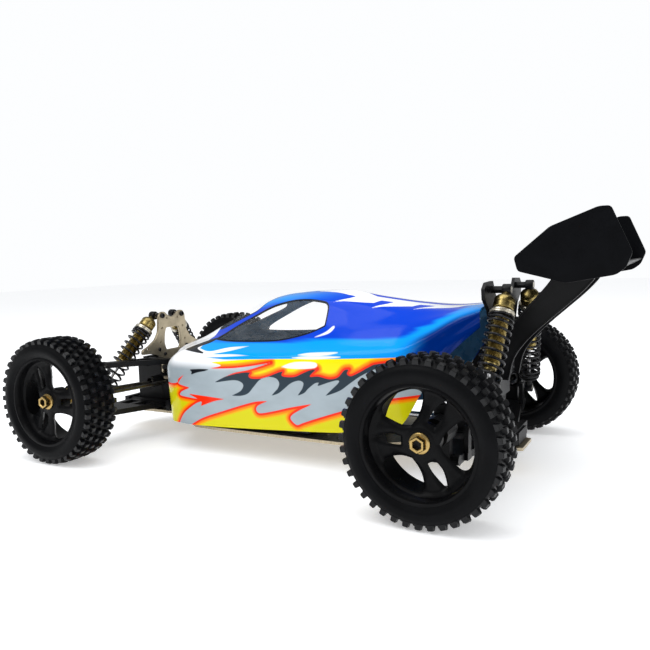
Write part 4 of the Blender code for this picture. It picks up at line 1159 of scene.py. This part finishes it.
def placed(parts, place):
    """Moves each mesh of a list of parts."""
    return [(moved(mesh, place), look) for mesh, look in parts]


def add_wheels():
    """A tyre, a rim and an axle with its nut at each corner."""
    for end, data in ENDS.items():
        half = data["tyre_half"]
        for side in SIDES:
            corner = f"{end}_{side}"
            place = wheel_place(end, side)
            wheel = [("tyre_studded", tyre_parts(half), "tyre_rubber", "tyre"),
                     ("rim_spoked", rim_parts(half, data["wheel_turn"]), "rim_plastic", "rim"),
                     ("axle_and_nut", axle_parts(), "nut_brass", "axle")]
            for name, parts, slot, node in wheel:
                piece(f"{corner}_{name}", placed(parts, place), f"{corner}_wheel",
                      [f"{corner}_{node}"])


# Shocks

# The barrel's thread, the spring cup's place above the lower eye, and the spring
THREAD_PITCH = 0.0015
THREAD_DEPTH = 0.0007
PERCH_LIFT = 0.022
CUP_RISE = 0.0014
SPRING_TOP = -0.0362
SPRING_WIRE = 0.00165
SPRING_MEAN = 0.0139
CLOSED_TURNS = 1.1
TURN_STEPS = 26


def shock_place(end, side):
    """Local Z runs up the shock's axis, with its top eye at the origin."""
    data = ENDS[end]
    mirror = Vector((SIDES[side], 1.0, 1.0))
    top = Vector(data["shock_top"]) * mirror
    low = Vector(data["shock_low"]) * mirror
    axis = top - low
    return pointing(top, axis), axis.length


def threaded(radius, high, low):
    """A thread's profile down a cylinder, as V grooves."""
    turns = int((high - low) / THREAD_PITCH)
    points = []
    for turn in range(turns):
        points.append((radius, high - THREAD_PITCH * turn))
        points.append((radius - THREAD_DEPTH, high - THREAD_PITCH * (turn + 0.5)))
    return points


def eye_parts(centre, radius, half):
    """A ball eye that lies along Y, with a bright bush through it."""
    ring = [(radius * 0.62, -half), (radius * 0.92, -half), (radius, -half * 0.8),
            (radius, half * 0.8), (radius * 0.92, half), (radius * 0.62, half)]
    bush = [(0.0, -half - 0.0002), (radius * 0.56, -half - 0.0002), (radius * 0.60, -half * 0.7),
            (radius * 0.60, half * 0.7), (radius * 0.56, half + 0.0002), (0.0, half + 0.0002)]
    place = pointing(centre, (0, 1, 0))
    parts = [(revolved(ring, 28, closed=True), ARM_PLASTIC), (revolved(bush, 20), PALE_METAL)]
    return placed(parts, place)


def shock_body_parts(end, side):
    """The threaded barrel with its cap, its two spring collars and its top eye."""
    place, _ = shock_place(end, side)
    cap = [(0.0, -0.0040), (0.0046, -0.0042), (0.0058, -0.0070), (0.0098, -0.0098), (0.0117, -0.0125),
           (0.0120, -0.0135), (0.0120, -0.0165), (0.0114, -0.0170), (0.0114, -0.0180),
           (0.0120, -0.0185), (0.0120, -0.0235), (0.0112, -0.0245), (0.0, -0.0245)]
    collar = [(0.0090, -0.0268), (0.0138, -0.0268), (0.0146, -0.0276), (0.0146, -0.0292),
              (0.0140, -0.0297), (0.0146, -0.0302), (0.0146, -0.0316), (0.0138, -0.0322),
              (0.0090, -0.0322)]
    ring = [(0.0090, -0.0323), (0.0144, -0.0323), (0.0150, -0.0329), (0.0150, -0.0341),
            (0.0142, -0.0346), (0.0090, -0.0346)]
    barrel = [(0.0, -0.0240), *threaded(0.0097, -0.0240, -0.0920), (0.0094, -0.0925),
              (0.0090, -0.0945), (0.0070, -0.0955), (0.0070, -0.0985), (0.0060, -0.0990), (0.0, -0.0990)]
    parts = [(revolved(cap, 48), GOLD), (revolved(collar, 48, closed=True), PALE_METAL),
             (revolved(ring, 48, closed=True), SCREW), (revolved(barrel, 32), GOLD)]
    return placed(parts, place) + eye_parts(place.translation, 0.0067, 0.0050)


def shock_shaft_parts(end, side):
    """The damper's rod with its spring cup, its rod end and its lower eye."""
    place, length = shock_place(end, side)
    perch = length - PERCH_LIFT
    rod = [(0.0, -0.0780), (0.0022, -0.0785), (0.0022, -perch + 0.0015), (0.0, -perch + 0.0015)]
    cup = [(0.0022, -perch + 0.0034), (0.0056, -perch + 0.0030), (0.0066, -perch + 0.0018),
           (0.0128, -perch + CUP_RISE), (0.0138, -perch + 0.0008), (0.0138, -perch - 0.0012),
           (0.0126, -perch - 0.0026), (0.0066, -perch - 0.0030), (0.0046, -perch - 0.0040),
           (0.0022, -perch - 0.0040)]
    end_rod = [(0.0, -perch - 0.0020), (0.0036, -perch - 0.0020), (0.0042, -perch - 0.0050, True),
               (0.0042, -length + 0.0060, True), (0.0036, -length + 0.0030), (0.0, -length + 0.0030)]
    parts = [(revolved(rod, 24), STEEL), (revolved(cup, 40, closed=True), ARM_PLASTIC),
             (revolved(end_rod, 24), ARM_PLASTIC)]
    low = place @ Vector((0.0, 0.0, -length))
    return placed(parts, place) + eye_parts(low, 0.0065, 0.0048)


def spring_points(turns, high, low):
    """A helix whose first and last turns lie closed, as on a ground spring."""
    count = int(turns * TURN_STEPS)
    dead = 2 * SPRING_WIRE
    points = []
    for step in range(count + 1):
        turn = step / TURN_STEPS
        if turn < CLOSED_TURNS:
            drop = dead * turn
        elif turn > turns - CLOSED_TURNS:
            drop = (high - low) - dead * (turns - turn)
        else:
            share = (turn - CLOSED_TURNS) / (turns - 2 * CLOSED_TURNS)
            drop = dead * CLOSED_TURNS + share * ((high - low) - 2 * dead * CLOSED_TURNS)
        angle = math.tau * turn
        points.append((SPRING_MEAN * math.cos(angle), SPRING_MEAN * math.sin(angle), high - drop))
    return points


def add_shocks():
    """A shock body, a rod and a coil spring that stretches between them at each corner."""
    for end, data in ENDS.items():
        for side in SIDES:
            corner = f"{end}_{side}"
            piece(f"{corner}_shock_body_threaded", shock_body_parts(end, side), f"{corner}_shock",
                  [f"{corner}_shock_body"])
            piece(f"{corner}_shock_rod", shock_shaft_parts(end, side), f"{corner}_damper",
                  [f"{corner}_shock_shaft"])
            place, length = shock_place(end, side)
            low = -(length - PERCH_LIFT) + CUP_RISE + SPRING_WIRE
            coil = tube(spring_points(data["turns"], SPRING_TOP, low), SPRING_WIRE)
            mesh = join([(moved(coil, place), SPRING)])
            mesh.transform(TO_FRAME)
            spring = linked(f"{corner}_coil_spring", mesh)
            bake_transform(spring)
            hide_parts(f"{corner}_spring")


# Wing

# The foil's and plates' shaping, and the wing's screws as (y, z) on two lines along the car
FOIL_HALF_THICK = 0.0016
PLATE_ROUND = 0.0036
WING_SCREWS_X = (-0.0275, 0.0275)
WING_SCREWS = ((0.378, 0.2535), (0.404, 0.2510))


def foil_section():
    """The foil's closed outline: round at the front and thin at the back."""
    middle = flowing(FOIL, 8)
    above, below = [], []
    last = len(middle) - 1
    for index, (y, z) in enumerate(middle):
        t = index / last
        thick = FOIL_HALF_THICK * (1.45 * math.sqrt(t + 0.002) * (1 - t) ** 0.6 + 0.42)
        thick *= min(1.0, 0.35 + 8 * t)
        above.append((y, z + thick))
        below.append((y, z - thick))
    return above + below[::-1]


def lengthways(x):
    """Stands a (y, z) outline up along the car, in the plane at x."""
    turn = Matrix(((0, 0, 1), (1, 0, 0), (0, 1, 0))).to_4x4()
    return Matrix.Translation((x, 0.0, 0.0)) @ turn


def add_wing():
    """The foil with its two end plates and four screws."""
    span = 2 * (WING_HALF - END_PLATE_THICK)
    parts = [(moved(sheet_plate([foil_section()], span, 0.0002), lengthways(0.0)), WING_PLASTIC)]
    outline = rounded_outline(END_PLATE, PLATE_ROUND)
    for side in (-1, 1):
        plate = sheet_plate([outline], END_PLATE_THICK, 0.0006)
        place = lengthways(side * (WING_HALF - END_PLATE_THICK / 2))
        parts.append((moved(plate, place), WING_PLASTIC))
    for x in WING_SCREWS_X:
        for y, z in WING_SCREWS:
            parts.append(cap_screw((x, y, z), (0, -0.05, 1), 0.0042, 0.0026))
    piece("wing_moulded", parts, "chassis", ["wing"])


# A wing strut's front edge upwards and its rear edge downwards, as (y, z), then its widths
STRUT_FRONT = [(0.3045, 0.120, True), (0.3045, 0.150), (0.310, 0.170), (0.3215, 0.190),
               (0.336, 0.208), (0.352, 0.226), (0.364, 0.241), (0.3685, 0.2508, True)]
STRUT_REAR = [(0.4130, 0.2472, True), (0.4105, 0.240), (0.396, 0.224), (0.374, 0.204),
              (0.352, 0.184), (0.334, 0.165), (0.322, 0.146), (0.316, 0.120, True)]
STRUT_BASE = 0.120
STRUT_X = 0.0275
STRUT_WEB = 0.0028
STRUT_FLANGE = 0.0056
FLANGE_WIDTH = 0.0016
FLANGE_DROP = 0.0008
FLANGE_TOP = 0.2440
MOUNT_FOOT = ((-0.030, 0.3045, 0.122), (0.030, 0.3105, 0.158))
MOUNT_TIE = ((-0.029, 0.350, 0.222), (0.029, 0.385, 0.227))
MOUNT_SCREW_X = 0.014
MOUNT_SCREWS_Z = (0.131, 0.149)


def add_wing_mount():
    """Two flanged struts with a foot block, a cross tie and their screws."""
    front, rear = flowing(STRUT_FRONT), flowing(STRUT_REAR)
    outline = np.vstack([front, rear])
    inset = np.array([FLANGE_WIDTH, -FLANGE_DROP])
    inner = np.vstack([front + inset, rear - inset])
    inner[:, 1] = np.clip(inner[:, 1], STRUT_BASE + FLANGE_WIDTH, FLANGE_TOP)
    parts = [(block(*corners, 0.0010), ARM_PLASTIC) for corners in (MOUNT_FOOT, MOUNT_TIE)]
    for side in (-1, 1):
        place = lengthways(side * STRUT_X)
        parts.append((moved(sheet_plate([outline], STRUT_WEB, 0.0003), place), ARM_PLASTIC))
        parts.append((moved(sheet_plate([outline, inner], STRUT_FLANGE, 0.0004), place), ARM_PLASTIC))
        for z in MOUNT_SCREWS_Z:
            at = (side * MOUNT_SCREW_X, MOUNT_FOOT[1][1], z)
            parts.append(cap_screw(at, (0, 1, 0), 0.0030, 0.0022))
    piece("wing_mount_flanged", parts, "chassis", ["wing_mount"])


# Front tower

# The tower's window, its holes as (x, z, radius) and its lower screws as (x, z)
TOWER_WINDOW = [(-0.016, 0.134), (0.016, 0.134), (0.020, 0.146), (0.0185, 0.160), (0.015, 0.170),
                (-0.015, 0.170), (-0.0185, 0.160), (-0.020, 0.146)]
TOWER_HOLES = [(0.058, 0.1395, 0.0022), (0.0265, 0.1915, 0.0016), (0.0125, 0.1855, 0.0016),
               (0.0245, 0.1700, 0.0016), (0.0290, 0.1480, 0.0018)]
TOWER_SCREWS = [(0.0205, 0.1275), (0.0330, 0.1360)]
STANDOFF = [(0.0, 0.0), (0.0042, 0.0), (0.0042, 0.0085), (0.0034, 0.0095), (0.0, 0.0095)]


def upright(y):
    """Stands an (x, z) outline up across the car at y."""
    turn = Matrix(((1, 0, 0), (0, 0, -1), (0, 1, 0))).to_4x4()
    return Matrix.Translation((0.0, y, 0.0)) @ turn


def add_front_tower():
    """The tower plate with its window and holes, the shocks' standoffs and the screws."""
    mirrored = [(-x, z) for x, z in reversed(FRONT_TOWER[1:])]
    rings = [rounded_outline(FRONT_TOWER + mirrored, 0.004), rounded_outline(TOWER_WINDOW, 0.003)]
    for side in (-1, 1):
        for x, z, radius in TOWER_HOLES:
            rings.append(circle(side * x, z, radius))
    front, back = FRONT_TOWER_Y
    middle = (front + back) / 2
    parts = [(moved(sheet_plate(rings, back - front, 0.0005), upright(middle)), PLATE_TAN)]
    x, _, z = ENDS["front"]["shock_top"]
    for side in (-1, 1):
        standoff = pointing((side * x, middle, z), (0, -1, 0))
        parts.append((moved(revolved(STANDOFF, 24), standoff), SCREW))
        parts.append(cap_screw((side * x, back, z), (0, 1, 0), 0.0042, 0.0030))
        for screw_x, screw_z in TOWER_SCREWS:
            parts.append(cap_screw((side * screw_x, back, screw_z), (0, 1, 0), 0.0030, 0.0022))
    piece("front_tower_plate", parts, "chassis", ["front_shock_tower"])


# Stage

CAMERA_AT = (0.8343, 0.4551, 0.2703)
CAMERA_RIGHT = (-0.4796, 0.8771, -0.0276)
CAMERA_UP = (-0.0971, -0.0218, 0.9950)
LENS = 36.71
FLOOR_SIZE = 7.0
FLOOR_GLOW = 0.32
WORLD_DIFFUSE = 0.72
WORLD_GLOSSY = 0.35

# Each light's place, the point it faces, its sides in metres and its power in watts
LIGHTS = {
    "key": ((1.3, -0.7, 1.8), (0.0, 0.0, 0.1), (1.2, 1.2), 14.0),
    "top_soft": ((0.1, 0.2, 2.2), (0.0, 0.0, 0.1), (2.2, 2.2), 26.0),
    "tail_strip": ((0.5, 1.9, 0.9), (0.0, 0.2, 0.1), (1.4, 0.5), 6.0),
}


def add_camera():
    """A camera from the car's left and rear, low, with the world's colours left as they are."""
    data = bpy.data.cameras.new("camera")
    data.lens = LENS
    data.sensor_width = 36.0
    camera = linked("camera", data)
    right = Vector(CAMERA_RIGHT).normalized()
    up = Vector(CAMERA_UP).normalized()
    back = right.cross(up).normalized()
    up = back.cross(right).normalized()
    turn = Matrix((right, up, back)).transposed().to_4x4()
    camera.matrix_world = Matrix.Translation(CAMERA_AT) @ turn
    data.clip_start = 0.01
    bpy.context.scene.camera = camera
    bpy.context.scene.view_settings.view_transform = "Standard"


def area_light(name, at, target, size, power):
    """A rectangular light that faces a point."""
    data = bpy.data.lights.new(name, "AREA")
    data.shape = "RECTANGLE"
    data.size, data.size_y = size
    data.energy = power
    light = linked(name, data)
    light.matrix_world = pointing(at, Vector(at) - Vector(target))


def floor_material():
    """Plain white paper that also glows a little, as an overlit sweep does."""
    made, tree, shader = new_material("floor_paper")
    fibre = noise(tree, 0.0015, detail=2.0)
    shade = blend_colour(tree, fibre, rgba((0.90, 0.91, 0.93)), rgba((0.93, 0.94, 0.95)))
    tree.links.new(shade, shader.inputs["Base Color"])
    shader.inputs["Roughness"].default_value = 0.7
    shader.inputs["Specular IOR Level"].default_value = 0.2
    shader.inputs["Emission Color"].default_value = (1.0, 1.0, 1.0, 1.0)
    shader.inputs["Emission Strength"].default_value = FLOOR_GLOW
    return made


def add_stage():
    """The floor, the surrounding light and the lamps."""
    shape = bmesh.new()
    bmesh.ops.create_grid(shape, x_segments=4, y_segments=4, size=FLOOR_SIZE)
    mesh = to_mesh(shape)
    mesh.materials.append(floor_material())
    floor = linked("floor", mesh)
    bpy.context.scene.world = studio_world()
    for name, settings in LIGHTS.items():
        area_light(name, *settings)


def studio_world():
    """White to the eye, softer as a light, and darker still in reflections."""
    world = bpy.data.worlds.new("studio")
    world.use_nodes = True
    tree = world.node_tree
    background = tree.nodes["Background"]
    background.inputs["Color"].default_value = (0.98, 0.99, 1.0, 1.0)
    path = tree.nodes.new("ShaderNodeLightPath")
    dimmed = spread(tree, path.outputs["Is Glossy Ray"], 0.0, 1.0, WORLD_DIFFUSE, WORLD_GLOSSY)
    seen = tree.nodes.new("ShaderNodeMath")
    seen.operation = "MAXIMUM"
    tree.links.new(path.outputs["Is Camera Ray"], seen.inputs[0])
    tree.links.new(dimmed, seen.inputs[1])
    tree.links.new(seen.outputs["Value"], background.inputs["Strength"])
    return world


add_camera()
add_stage()
dress_frame()
add_body_shell()
add_wheels()
add_shocks()
add_wing()
add_wing_mount()
add_front_tower()
